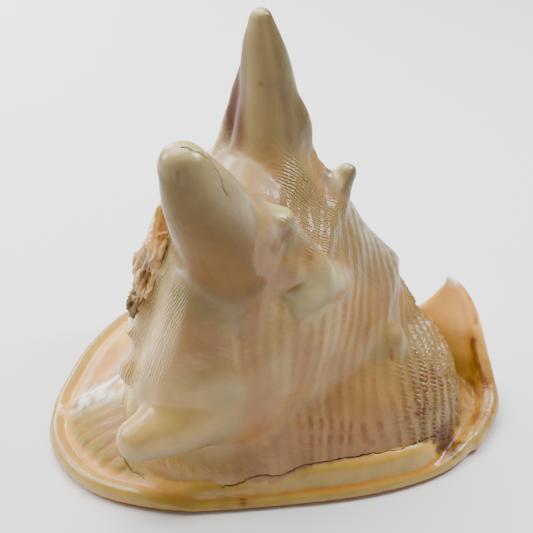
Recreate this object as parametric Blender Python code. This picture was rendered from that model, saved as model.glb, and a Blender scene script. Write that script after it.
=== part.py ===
"""Horned helmet shell, solid form.

One thick sea shell resting on its flat face: the last whorl with its three rows of horns and knobs,
the flat stair of the older whorls at -X, the rolled lip and shield all round the foot, the canal
that turns up at +X, and the long toothed aperture underneath.  Lengths below are in millimetres.
"""
import math

import bmesh
import bpy
import numpy as np
from mathutils import Matrix, Vector

MM = 0.001

# ---- the coiling axis -------------------------------------------------------------------------
TILT = math.radians(25)                                     # spire end raised
APEX = Vector((-62, 8, 90))
ALONG = Vector((math.cos(TILT), 0, -math.sin(TILT)))        # apex towards the canal
FRONT = Vector((0, -1, 0))
UP = Vector((math.sin(TILT), 0, math.cos(TILT)))
WHORL_RATIO = 1.55                                          # radius gained in one turn

# distance along the axis, radius: from the apex over the shoulder and two keels to the canal
PROFILE = [(1.5, 6), (5, 18), (8, 32), (11, 46), (14.5, 59), (20, 70.5), (29, 79), (43, 79.5),
           (58, 76), (71, 72.5), (84, 65.5), (96, 57.5), (108, 52), (118, 48), (126, 40.5),
           (134, 32), (142, 27.5), (150, 22.5), (158, 16), (165, 8)]
# angle round the axis (0 front, 90 top), share of the radius
GROWTH = [(-60, 1.05), (0, 1.03), (45, 1.0), (90, 0.955), (120, 0.94), (180, 0.92), (240, 0.86),
          (285, 1.0), (300, 1.05)]
# angle, how far the shoulder sits towards the apex
SHOULDER = [(-90, -7), (-60, -4), (-30, 2), (-15, 5), (0, 6), (11, 8), (25, 9.5), (45, 8.5), (60, 5.5),
            (90, 1.5), (120, 0), (180, -1), (230, -5), (270, -7)]

# how far the spire is sunk along the axis, by angle and by radius
SINK = [(-90, 2), (-60, 4), (-40, 6), (20, 6.2), (45, 4.4), (75, 1), (110, 0), (200, 0), (270, 2)]
SINK_SHARE = [(0, 0.5), (30, 0.9), (57, 1), (66, 0.45), (74, 0)]

# ---- the foot of the whorl and the rim of lip and shield, as seen from above ----------------------
FOOT = [(-72, -20), (-64, -50), (-42, -67.5), (-6, -70.5), (22, -66), (50, -59), (77, -46), (93, -26),
        (98, 0), (93, 24), (76, 44), (40, 60), (0, 68), (-38, 64), (-60, 45), (-72, 15)]
FOOT_LEVELS = [(1, 1.02, -1), (8, 1.0, -1), (16, 0.975, 0), (26, 0.93, 2), (38, 0.875, 2), (50, 0.81, -1),
               (64, 0.72, -8), (76, 0.60, -16), (84, 0.42, -22)]      # height, scale, shift in X
RIM = [(-106.6, -14), (-105.2, -26.5), (-101, -39), (-92, -53.5), (-78.5, -66), (-60, -73.4), (-39, -76.6),
       (-16, -75.4), (15, -71.6), (38, -67.8), (61, -61.2), (80.5, -52), (92, -43), (101, -32),
       (108, -19), (113, -6), (117, 9), (116, 24), (106, 42), (90, 58), (66, 74), (30, 86), (-5, 93),
       (-40, 97), (-66, 93), (-80, 82), (-90, 65), (-98.5, 43), (-104.5, 14.5), (-106.5, 0)]
# distance in from the rim, height: sole, rolled bead, groove, shelf; the lip's front part is a
# thick roll above a thin bead, the rest a wider bead with a shelf rising inside it
LIP_SECTION = [(60, 5), (42, 4.5), (30, 3.4), (22, 1.2), (17, -0.6), (6, -0.6), (2.4, 0.8),
               (0.5, 3), (0, 5.6), (1.2, 8.6), (3.6, 9.8), (6, 8.9), (7.8, 7.8), (10, 9.2),
               (16, 12.6), (24, 15.8), (34, 19.5), (46, 24), (60, 26)]
FRONT_SECTION = [(60, 5), (42, 4.5), (30, 3.4), (22, 1.2), (17, -0.6), (5, -0.6), (1.8, 0.6),
                 (0.3, 2.2), (0, 4), (0.6, 5.6), (1.6, 6.3), (2.7, 6.6), (3.3, 8.4), (3.9, 12),
                 (5.2, 16), (8, 18.6), (13, 19.4), (34, 19.6), (60, 21)]
# place in X, share of the height the front roll keeps
ROLL = [(-62, 0.6), (-30, 0.68), (-14, 0.74), (6, 0.84), (22, 1.0), (62, 1.0), (78, 0.95), (92, 0.78)]
# ---- horns and knobs: points of the middle line, radii -----------------------------------------
BARS = {
    "top_horn": ([(0, -4, 110), (1, 0, 128), (1, 3, 143), (1, 5, 157), (0.9, 6, 171), (-0.4, 6, 182),
                  (-1.7, 6, 194), (-2.4, 6, 203)], [33, 25, 18.5, 15.4, 12.9, 11.4, 8.8, 5.6]),
    "top_horn_side": ([(29, 2, 124), (22, 3, 132), (16, 4, 144), (13.5, 4, 157), (10, 4, 170)],
                      [8, 6, 5.6, 6.4, 4.4]),
    "top_horn_fold": ([(-19, 13, 128), (-16, 17, 142), (-13, 17, 156), (-10.5, 16, 168),
                       (-7.6, 13, 181)], [9, 7, 5.8, 5, 4]),
    "front_horn": ([(0, -8, 84), (-8, -27, 102), (-15, -45, 121), (-21.2, -58, 140),
                    (-27, -67.5, 157), (-31.6, -74, 171.3)], [31, 28.5, 24.5, 19.2, 15.3, 10.7]),
    "front_horn_shoulder": ([(-14, -50, 134), (-5, -48, 133), (5.5, -46, 132)], [14, 11, 7.8]),
    "crest": ([(-22, -48, 118), (-27, -55, 110), (-30, -58, 104), (-33, -61.5, 94), (-38, -62.5, 78),
               (-44, -61, 63), (-47, -59, 54)], [7, 6.5, 6, 6, 6.5, 8, 9]),
    "low_horn": ([(2, -30, 42), (-13, -47, 49), (-28, -60, 50), (-43, -70.5, 46),
                  (-55.5, -76, 42.5)], [28, 25, 20, 14.6, 10]),
    "low_horn_rib": ([(-24, -60, 49), (-14, -61, 51), (-6.5, -60, 57), (-2, -56, 66)],
                     [15, 12.5, 10, 8]),
    "top_knob": ([(27, -1, 118), (31, 1.5, 124), (34, 3.5, 128), (36.5, 4.5, 132)],
                 [13, 9, 6.2, 4.8]),
    "front_knob": ([(26, -34, 97), (25, -41, 101), (21.5, -47, 101.5), (17.5, -51, 99.5)],
                   [12, 9, 7.4, 6.2]),
    "lower_knob": ([(46, -15, 53), (53, -22, 58), (56, -25.5, 60.5)], [15, 12, 9.5]),
    "ramp_knob": ([(-46, -38, 67), (-54, -45, 62), (-59.5, -48, 59.5)], [11, 9, 7]),
    "front_horn_web": ([(-13, -46, 114), (-11, -50.5, 100), (-9, -52.5, 84)], [17, 16.5, 15]),
    "front_keel": ([(4, -44.5, 130), (10, -44.5, 122), (16.5, -44.5, 114.5), (22, -45.5, 107),
                    (24, -46, 101)], [8, 8, 7.8, 7.6, 7]),
    "front_keel_web": ([(3, -47, 118), (9.5, -47, 111.5), (16, -46.5, 105)], [11, 10, 8.5]),
    "low_horn_web": ([(0, -48.5, 68), (-14, -57, 68.5), (-29, -63.5, 67.5), (-39.5, -67.5, 65)],
                     [17, 16.5, 14.5, 10.5]),
    "low_horn_fill": ([(0, -51.5, 58), (-15, -56.5, 60), (-30, -62, 60), (-39, -66, 57)],
                      [15.5, 16, 14, 11]),
    "back_horn": ([(-16, 44, 90), (-24, 60, 96), (-31, 71, 99), (-35, 78, 100)], [22, 15, 9, 6]),
    "back_low_horn": ([(-16, 48, 62), (-27, 64, 62), (-36, 77, 61), (-41, 85, 60)], [22, 16, 9, 6]),
    "back_knob": ([(18, 44, 80), (20, 57, 83)], [13, 7.5]),
    "back_low_knob": ([(24, 42, 50), (24, 58, 50)], [14, 8.5]),
}
# low ridges on the whorl: points (distance along the axis, angle), radius, how far it stands out
RIDGES = {
    "second_row": ([(70, 112), (70, 96), (70, 80), (70, 64), (71, 48), (73, 34)], 8.0, -6.8),
    "second_row_back": ([(70, 112), (70, 132), (70, 152), (72, 174), (74, 196)], 8.0, -6.2),
    "third_row": ([(118, 110), (118, 92), (117, 74), (116, 52), (115, 30)], 7.0, -4.6),
    "back_crest": ([(29, 100), (28, 124), (28, 150), (29, 176), (31, 200)], 8.0, -4.5),
}
# worn knobs where the older whorls meet: angle, radius from the axis, size
SPIRE_KNOBS = [(38, 57, 3.6), (22, 52, 3.2), (4, 50, 3.0), (-14, 50, 3.0), (68, 54, 3.4), (104, 50, 3.4),
               (140, 46, 3.2), (176, 43, 3.0), (214, 40, 3.0), (250, 37, 2.8), (30, 30, 3.0),
               (90, 27, 2.6), (150, 24, 2.4), (210, 21, 2.2)]

# ---- the upturned canal: rows of points of its sheet, from the foot to the tip ------------------
CANAL_ROWS = [
    [(110, -4, 2), (99, 10, 2), (87, 20, 1), (82, 31, 1), (91, 42, 1), (106, 45, 2)],
    [(110, 6, 14), (99, 14, 13), (86, 21, 12), (81, 31, 12), (88, 42, 12), (103, 44, 12)],
    [(107, 13, 27), (97, 18, 26), (86, 22, 25), (80, 31, 25), (85, 41, 24), (95, 43, 23)],
    [(104.5, 17.5, 38), (95, 20, 38.5), (86, 23, 37.5), (80, 31, 36), (82, 39, 34), (88, 42, 33)],
    [(101, 20, 50), (93, 22, 50.5), (85.5, 24.5, 47), (80, 30, 43), (80, 36, 39), (83, 39, 38)],
    [(95.5, 22.5, 59), (91, 23.5, 58.5), (86, 25.5, 53), (81.5, 29, 47.5), (80, 33, 43), (81, 36, 41)],
    [(91, 24, 64.8), (89.5, 24.5, 63), (86.5, 26, 57), (83, 28, 51.5), (81, 31, 46.5), (81, 34, 44)],
]
CANAL_THICKNESS = [9, 8.5, 7.5, 6.5, 5.5, 4.5, 3.2]
CANAL_EDGE = ([(99, -29, 5), (106, -16, 6), (110.5, -4, 8.5), (110, 6, 16), (107, 13, 27),
               (104.5, 18, 38), (102, 20, 47), (98, 22, 55.5), (93.6, 23, 61.4), (90.6, 24, 64.6)],
              [5.4, 5.6, 5.8, 5.2, 4.9, 4.5, 4.0, 3.4, 2.7, 1.9])

# ---- the openings underneath ---------------------------------------------------------------------
SLOT = [(-60, -17), (-46, -20), (-26, -23), (0, -23), (28, -20), (52, -13), (72, -4), (84, 5)]
SLOT_WIDTH = 9
SLOT_TOP = [(-60, 14), (-40, 30), (0, 36), (50, 34), (70, 20), (84, 8)]     # place in X, height
VALLEY = ([(-72, -14, -10), (-50, -19.5, -9), (-28, -23, -9), (0, -23, -9), (30, -19, -9), (58, -12, -9),
           (80, -2, -8), (98, 15, -6)], [14, 18, 19, 19, 18, 17, 15, 13])
CHAMBER = ([(-48, -12, 36), (-28, -14, 46), (0, -16, 50), (28, -14, 46), (54, -10, 34),
            (74, -4, 18)], [11, 18, 21, 19, 14, 7])
GUTTER = ([(78, 1, -1), (90, 13, -1), (98.5, 25, 2), (102, 33, 12), (99, 34, 28), (94, 34, 58)],
          [5, 5.6, 6.2, 6.4, 6, 6])
TEETH = 9

VOXEL = 1.5
LIP_VOXEL = 1.2
TRIANGLES = 9400
CENTRE = Vector((5.33, 5.62, 0))                              # moved to the origin at the end


def clear_scene():
    for thing in list(bpy.data.objects):
        bpy.data.objects.remove(thing)


# ---- smooth lines ----------------------------------------------------------------------------------
def rounded(a, b, c, d, f):
    """Catmull-Rom blend between b and c"""
    return 0.5 * (2 * b + (c - a) * f + (2 * a - 5 * b + 4 * c - d) * f**2
                  + (3 * b - a - 3 * c + d) * f**3)


def open_line(points, count):
    """count + 1 points of the smooth line through the given ones"""
    given = np.array(points, float)
    padded = np.vstack([2 * given[0] - given[1], given, 2 * given[-1] - given[-2]])
    place = np.linspace(0, len(given) - 1, count + 1)
    i = np.minimum(place.astype(int), len(given) - 2)
    return rounded(padded[i], padded[i + 1], padded[i + 2], padded[i + 3], (place - i)[:, None])


def closed_line(points, count):
    """count points of the smooth closed line through the given ones"""
    given = np.array(points, float)
    size = len(given)
    place = np.arange(count) * size / count
    i = place.astype(int)
    return rounded(given[(i - 1) % size], given[i % size], given[(i + 1) % size],
                   given[(i + 2) % size], (place - i)[:, None])


def table(rows, at):
    return float(np.interp(at, [row[0] for row in rows], [row[1] for row in rows]))


# ---- the whorl -------------------------------------------------------------------------------------
def on_axis(along, radius, angle):
    turn = math.radians(angle)
    return APEX + ALONG * along + (FRONT * math.cos(turn) + UP * math.sin(turn)) * radius


def spire_step(radius, angle):
    """how far a point of the spire drops below the suture of the whorl inside it"""
    angle = (angle + 60) % 360 - 60
    turns = math.log(79.0 / max(radius, 1.0)) / math.log(WHORL_RATIO) - (angle - 90) / 360.0 - 0.12
    whole = math.floor(turns)
    if whole < 1 or whole > 5:
        return 0.0
    part = turns - whole
    rise = min(1.0, part / 0.18)
    fall = 1 - 0.75 * max(0.0, (part - 0.18) / 0.82)
    depth = 7.5 * (radius / 48.0) ** 0.8
    if whole == 1:
        depth *= min(1.0, (angle + 60) / 70)
    return -depth * rise * rise * (3 - 2 * rise) * fall


def whorl_point(along, radius, angle):
    """a point of the last whorl's surface, with its growth and its slanting shoulder"""
    wrapped = (angle + 90) % 360 - 90
    fade = min(1.0, radius / 45) * (1.0 if along < 40 else max(0.0, 1 - (along - 40) / 50))
    growth = table(GROWTH, (angle + 60) % 360 - 60)
    shift = spire_step(radius, angle) - table(SHOULDER, wrapped) * fade
    if along < 25:
        shift += table(SINK, wrapped) * table(SINK_SHARE, radius)
    return on_axis(along + shift, radius * growth, angle)


# ---- solids ----------------------------------------------------------------------------------------
def to_object(name, bm):
    bmesh.ops.recalc_face_normals(bm, faces=bm.faces)
    mesh = bpy.data.meshes.new(name)
    bm.to_mesh(mesh)
    bm.free()
    thing = bpy.data.objects.new(name, mesh)
    bpy.context.scene.collection.objects.link(thing)
    return thing


def extruded(name, rows, closed=True, caps=True):
    """a first row of points, its edges extruded from row to row"""
    bm = bmesh.new()
    row = [bm.verts.new(Vector(p) * MM) for p in rows[0]]
    pairs = zip(row, row[1:] + row[:1]) if closed else zip(row, row[1:])
    edges = [bm.edges.new(pair) for pair in pairs]
    if caps:
        bm.faces.new(row)
    for points in rows[1:]:
        grown = bmesh.ops.extrude_edge_only(bm, edges=edges)["geom"]
        fresh = {v for v in grown if isinstance(v, bmesh.types.BMVert)}
        row = [next(e.other_vert(v) for e in v.link_edges if e.other_vert(v) in fresh) for v in row]
        for vert, point in zip(row, points):
            vert.co = Vector(point) * MM
        edges = [e for e in grown if isinstance(e, bmesh.types.BMEdge)
                 and e.verts[0] in fresh and e.verts[1] in fresh]
    if caps:
        bm.faces.new(row)
    return to_object(name, bm)


def make_whorl():
    profile = open_line(PROFILE, 84)
    angles = np.arange(160) * 360 / 160
    return extruded("whorl", [[whorl_point(s, r, a) for a in angles] for s, r in profile])


def make_foot():
    outline = closed_line(FOOT, 120)
    return extruded("foot", [[(8 + shift + (x - 8) * k, 2 + (y - 2) * k, z) for x, y in outline]
                             for z, k, shift in FOOT_LEVELS])


def front_share(x, y):
    """1 along the front of the outer lip, 0 on the flange, the canal side and the shield"""
    share = min(1.0, max(0.0, (x + 62) / 34)) * min(1.0, max(0.0, (101 - x) / 30))
    return share * share * (3 - 2 * share) if y < 0 else 0.0


def make_lip():
    """the section carried round the rim; beyond 24 mm it closes in on the middle"""
    edge = closed_line(RIM, 220)
    along = np.roll(edge, -1, 0) - np.roll(edge, 1, 0)
    along /= np.linalg.norm(along, axis=1)[:, None]
    inward = np.stack([-along[:, 1], along[:, 0]], 1)
    share = np.array([front_share(x, y) for x, y in edge])[:, None]
    middle = np.array([5.0, 5.0])
    roll = np.array([(1.0, table(ROLL, x)) for x, _ in edge])
    rows = []
    for side, front in zip(np.array(LIP_SECTION), np.array(FRONT_SECTION)):
        section = side * (1 - share) + front * roll * share
        depth, height = section[:, :1], section[:, 1:]
        ring = edge + inward * np.minimum(depth, 24)
        ring += (middle - ring) * np.maximum(0.0, (depth - 24) / 42)
        rows.append(np.hstack([ring, height]))
    return extruded("lip", rows)


def make_bar(name, points, radii):
    """a round bar of changing radius with domed ends"""
    line = open_line(points, 6 * (len(points) - 1))
    girth = open_line([(r,) for r in radii], 6 * (len(points) - 1))[:, 0]
    first, last = line[0] - line[1], line[-1] - line[-2]
    first, last = first / np.linalg.norm(first), last / np.linalg.norm(last)
    dome = [math.radians(a) for a in (18, 36, 54, 70, 82)]
    start = [(line[0] + first * girth[0] * math.sin(a), girth[0] * math.cos(a)) for a in dome[::-1]]
    stop = [(line[-1] + last * girth[-1] * math.sin(a), girth[-1] * math.cos(a)) for a in dome]
    stations = start + list(zip(line, girth)) + stop
    curve = bpy.data.curves.new(name, "CURVE")
    curve.dimensions = "3D"
    curve.bevel_depth = MM
    curve.bevel_resolution = 6
    curve.use_fill_caps = True
    spline = curve.splines.new("POLY")
    spline.points.add(len(stations) - 1)
    for point, (place, radius) in zip(spline.points, stations):
        point.co = (*(Vector(place) * MM), 1)
        point.radius = radius
    thing = bpy.data.objects.new(name, curve)
    bpy.context.scene.collection.objects.link(thing)
    return thing


def make_ridge(name, stations, radius, out):
    profile = np.array(PROFILE)
    points = []
    for along, angle in stations:
        reach = float(np.interp(along, profile[:, 0], profile[:, 1]))
        points.append(whorl_point(along, reach + out / table(GROWTH, angle), angle))
    return make_bar(name, points, [radius] * len(points))


def make_spire_knobs():
    knobs = []
    profile = np.array(PROFILE)
    for k, (angle, radius, size) in enumerate(SPIRE_KNOBS):
        along = float(np.interp(radius, profile[:7, 1], profile[:7, 0]))
        foot = whorl_point(along, radius, angle) + ALONG * size
        tip = foot - ALONG * (size * 1.1)
        knobs.append(make_bar(f"spire_knob_{k}", [foot, tip], [size, size * 0.85]))
    return knobs


def make_canal():
    """the canal's sheet: each row of points becomes a thin closed outline"""
    fine = np.array([open_line(row, 24) for row in CANAL_ROWS])
    stack = np.array([open_line(fine[:, i], 30) for i in range(25)])
    girth = open_line([(t,) for t in CANAL_THICKNESS], 30)[:, 0]
    taper = np.sqrt(1 - 0.98 * np.linspace(-1, 1, 25) ** 12)
    rows = []
    for k in range(31):
        line = stack[:, k]
        along = np.gradient(line, axis=0)
        side = np.stack([-along[:, 1], along[:, 0], 0 * along[:, 0]], 1)
        side *= (taper * girth[k] / 2 / np.linalg.norm(side, axis=1))[:, None]
        rows.append(list(line + side) + list((line - side)[::-1]))
    return extruded("canal", rows)


def make_slot():
    line = open_line(SLOT, 60)
    rows = [[(x, y, -12 + share * (table(SLOT_TOP, x) + 12)) for x, y in line]
            for share in (0, 0.3, 0.65, 1)]
    sheet = extruded("slot", rows, closed=False, caps=False)
    modify(sheet, "SOLIDIFY", thickness=SLOT_WIDTH * MM, offset=0)
    return sheet


def make_teeth():
    """short bars that cross the inner face of the outer lip"""
    line = open_line(SLOT[1:7], TEETH + 1)[1:-1]
    teeth = []
    for k, (x, y) in enumerate(line):
        inner, outer = (x, y - 3.2, 13), (x - 0.5, y - 15.5, 3.2)
        middle = (x, y - 7.5, 8.6)
        teeth.append(make_bar(f"tooth_{k}", [inner, middle, outer], [2.3, 2.5, 1.6]))
    return teeth


# ---- putting the solids together ----------------------------------------------------------------
def modify(thing, kind, **settings):
    modifier = thing.modifiers.new(kind.lower(), kind)
    for key, value in settings.items():
        setattr(modifier, key, value)
    return modifier


def finished(thing):
    """the object's mesh with its modifiers worked in"""
    seen = thing.evaluated_get(bpy.context.evaluated_depsgraph_get())
    return bpy.data.meshes.new_from_object(seen)


def joined(name, things):
    bm = bmesh.new()
    for thing in things:
        bm.from_mesh(finished(thing))
        bpy.data.objects.remove(thing)
    return to_object(name, bm)


def settled(thing):
    """replaces the object's mesh by its finished one"""
    mesh = finished(thing)
    thing.modifiers.clear()
    thing.data = mesh
    return thing


def fused(name, things, voxel, soften, regain=0):
    """one closed skin round all the things, softened where they meet"""
    whole = joined(name, things)
    modify(whole, "REMESH", mode="VOXEL", voxel_size=voxel * MM)
    modify(whole, "SMOOTH", factor=0.5, iterations=soften)
    if regain:
        modify(whole, "SMOOTH", factor=-0.5, iterations=regain)
    return settled(whole)


def combined(thing, other, operation):
    modify(thing, "BOOLEAN", operation=operation, solver="EXACT", object=other)
    settled(thing)
    bpy.data.objects.remove(other)
    return thing


def ground_box(top):
    bm = bmesh.new()
    bmesh.ops.create_cube(bm, size=1)
    for vert in bm.verts:
        vert.co = Vector((vert.co.x * 400, vert.co.y * 400, top - 40 + vert.co.z * 80)) * MM
    return to_object("ground", bm)


def paint(thing):
    material = bpy.data.materials.new("shell_cream")
    material.use_nodes = True
    shader = material.node_tree.nodes["Principled BSDF"]
    shader.inputs["Base Color"].default_value = (0.72, 0.58, 0.42, 1)
    shader.inputs["Roughness"].default_value = 0.32
    thing.data.materials.clear()
    thing.data.materials.append(material)


def main():
    clear_scene()
    bars = [make_bar(name, *given) for name, given in BARS.items()]
    ridges = [make_ridge(name, *given) for name, given in RIDGES.items()]
    whorl = fused("whorl", [make_whorl(), make_foot()] + bars + ridges + make_spire_knobs(), VOXEL, 14, 5)
    combined(whorl, ground_box(4), "DIFFERENCE")
    lip = fused("lip", [make_lip(), make_canal(), make_bar("edge", *CANAL_EDGE)], LIP_VOXEL, 5)
    shell = combined(whorl, lip, "UNION")
    hollow = fused("hollow", [make_slot(), make_bar("valley", *VALLEY),
                              make_bar("chamber", *CHAMBER), make_bar("gutter", *GUTTER)], 1.5, 4)
    combined(shell, hollow, "DIFFERENCE")
    shell = fused("helmet_shell", [shell] + make_teeth(), VOXEL * 0.8, 1)
    count = sum(len(face.vertices) - 2 for face in shell.data.polygons)
    modify(shell, "DECIMATE", ratio=TRIANGLES / count)
    settled(shell)
    combined(shell, ground_box(0), "DIFFERENCE")
    shell.data.transform(Matrix.Translation(-CENTRE * MM))
    for face in shell.data.polygons:
        face.use_smooth = True
    paint(shell)


main()
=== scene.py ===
"""Horned helmet shell: the finished look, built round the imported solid.

The skin is the solid's own form built again from the same named values on a finer net. It then gets
its relief (spiral cords, growth lines, flange folds, cracks) and its colours. The dried crust and the
worn flake on the spire's edge are pieces of their own. Lengths in the tables are in millimetres.
"""
import math

import bmesh
import bpy
import numpy as np
from mathutils import Matrix, Vector, kdtree, noise
from mathutils.bvhtree import BVHTree


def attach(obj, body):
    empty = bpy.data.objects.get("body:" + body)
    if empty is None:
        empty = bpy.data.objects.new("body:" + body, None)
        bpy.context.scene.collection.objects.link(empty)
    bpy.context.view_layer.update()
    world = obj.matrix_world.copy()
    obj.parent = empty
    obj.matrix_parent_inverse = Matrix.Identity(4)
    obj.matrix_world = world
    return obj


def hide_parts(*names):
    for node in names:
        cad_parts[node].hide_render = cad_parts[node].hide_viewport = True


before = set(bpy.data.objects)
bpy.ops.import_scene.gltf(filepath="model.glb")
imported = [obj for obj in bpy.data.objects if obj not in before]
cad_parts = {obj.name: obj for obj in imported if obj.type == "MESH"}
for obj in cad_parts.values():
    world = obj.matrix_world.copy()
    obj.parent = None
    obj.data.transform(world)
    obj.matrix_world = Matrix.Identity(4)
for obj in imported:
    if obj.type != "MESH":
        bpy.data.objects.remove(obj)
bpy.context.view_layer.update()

MM = 0.001
noise.seed_set(1)                                           # the clock seeds noise_vector otherwise

# ---- the coiling axis -------------------------------------------------------------------------
TILT = math.radians(25)                                     # spire end raised
APEX = Vector((-62, 8, 90))
ALONG = Vector((math.cos(TILT), 0, -math.sin(TILT)))        # apex towards the canal
FRONT = Vector((0, -1, 0))
UP = Vector((math.sin(TILT), 0, math.cos(TILT)))
WHORL_RATIO = 1.55                                          # radius gained in one turn

# distance along the axis, radius: from the apex over the shoulder and two keels to the canal
PROFILE = [(1.5, 6), (5, 18), (8, 32), (11, 46), (14.5, 59), (20, 70.5), (29, 79), (43, 79.5),
           (58, 76), (71, 72.5), (84, 65.5), (96, 57.5), (108, 52), (118, 48), (126, 40.5),
           (134, 32), (142, 27.5), (150, 22.5), (158, 16), (165, 8)]
# angle round the axis (0 front, 90 top), share of the radius
GROWTH = [(-60, 1.05), (0, 1.03), (45, 1.0), (90, 0.955), (120, 0.94), (180, 0.92), (240, 0.86),
          (285, 1.0), (300, 1.05)]
# angle, how far the shoulder sits towards the apex
SHOULDER = [(-90, -7), (-60, -4), (-30, 2), (-15, 5), (0, 6), (11, 8), (25, 9.5), (45, 8.5), (60, 5.5),
            (90, 1.5), (120, 0), (180, -1), (230, -5), (270, -7)]

# how far the spire is sunk along the axis, by angle and by radius
SINK = [(-90, 2), (-60, 4), (-40, 6), (20, 6.2), (45, 4.4), (75, 1), (110, 0), (200, 0), (270, 2)]
SINK_SHARE = [(0, 0.5), (30, 0.9), (57, 1), (66, 0.45), (74, 0)]
# the steps of the older whorls: how many, the width where they start, how soon each drops, how deep
SPIRE_WHORLS, SPIRE_RADIUS, STEP_DROP, STEP_DEPTH = 5, 79.0, 0.18, 7.5

# ---- the foot of the whorl and the rim of lip and shield, as seen from above ----------------------
FOOT = [(-72, -20), (-64, -50), (-42, -67.5), (-6, -70.5), (22, -66), (50, -59), (77, -46), (93, -26),
        (98, 0), (93, 24), (76, 44), (40, 60), (0, 68), (-38, 64), (-60, 45), (-72, 15)]
FOOT_LEVELS = [(1, 1.02, -1), (8, 1.0, -1), (16, 0.975, 0), (26, 0.93, 2), (38, 0.875, 2), (50, 0.81, -1),
               (64, 0.72, -8), (76, 0.60, -16), (84, 0.42, -22)]      # height, scale, shift in X
RIM = [(-106.6, -14), (-105.2, -26.5), (-101, -39), (-92, -53.5), (-78.5, -66), (-60, -73.4), (-39, -76.6),
       (-16, -75.4), (15, -71.6), (38, -67.8), (61, -61.2), (80.5, -52), (92, -43), (101, -32),
       (108, -19), (113, -6), (117, 9), (116, 24), (106, 42), (90, 58), (66, 74), (30, 86), (-5, 93),
       (-40, 97), (-66, 93), (-80, 82), (-90, 65), (-98.5, 43), (-104.5, 14.5), (-106.5, 0)]
# distance in from the rim, height: sole, rolled bead, groove, shelf; the lip's front part is a
# thick roll above a thin bead, the rest a wider bead with a shelf rising inside it
LIP_SECTION = [(60, 5), (42, 4.5), (30, 3.4), (22, 1.2), (17, -0.6), (6, -0.6), (2.4, 0.8),
               (0.5, 3), (0, 5.6), (1.2, 8.6), (3.6, 9.8), (6, 8.9), (7.8, 7.8), (10, 9.2),
               (16, 12.6), (24, 15.8), (34, 19.5), (46, 24), (60, 26)]
FRONT_SECTION = [(60, 5), (42, 4.5), (30, 3.4), (22, 1.2), (17, -0.6), (5, -0.6), (1.8, 0.6),
                 (0.3, 2.2), (0, 4), (0.6, 5.6), (1.6, 6.3), (2.7, 6.6), (3.3, 8.4), (3.9, 12),
                 (5.2, 16), (8, 18.6), (13, 19.4), (34, 19.6), (60, 21)]
# place in X, share of the height the front roll keeps
ROLL = [(-62, 0.6), (-30, 0.68), (-14, 0.74), (6, 0.84), (22, 1.0), (62, 1.0), (78, 0.95), (92, 0.78)]
GROOVE_SIDE, GROOVE_FRONT = (7.8, 7.6), (2.9, 6.8)          # where the orange line runs: in, up
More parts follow.
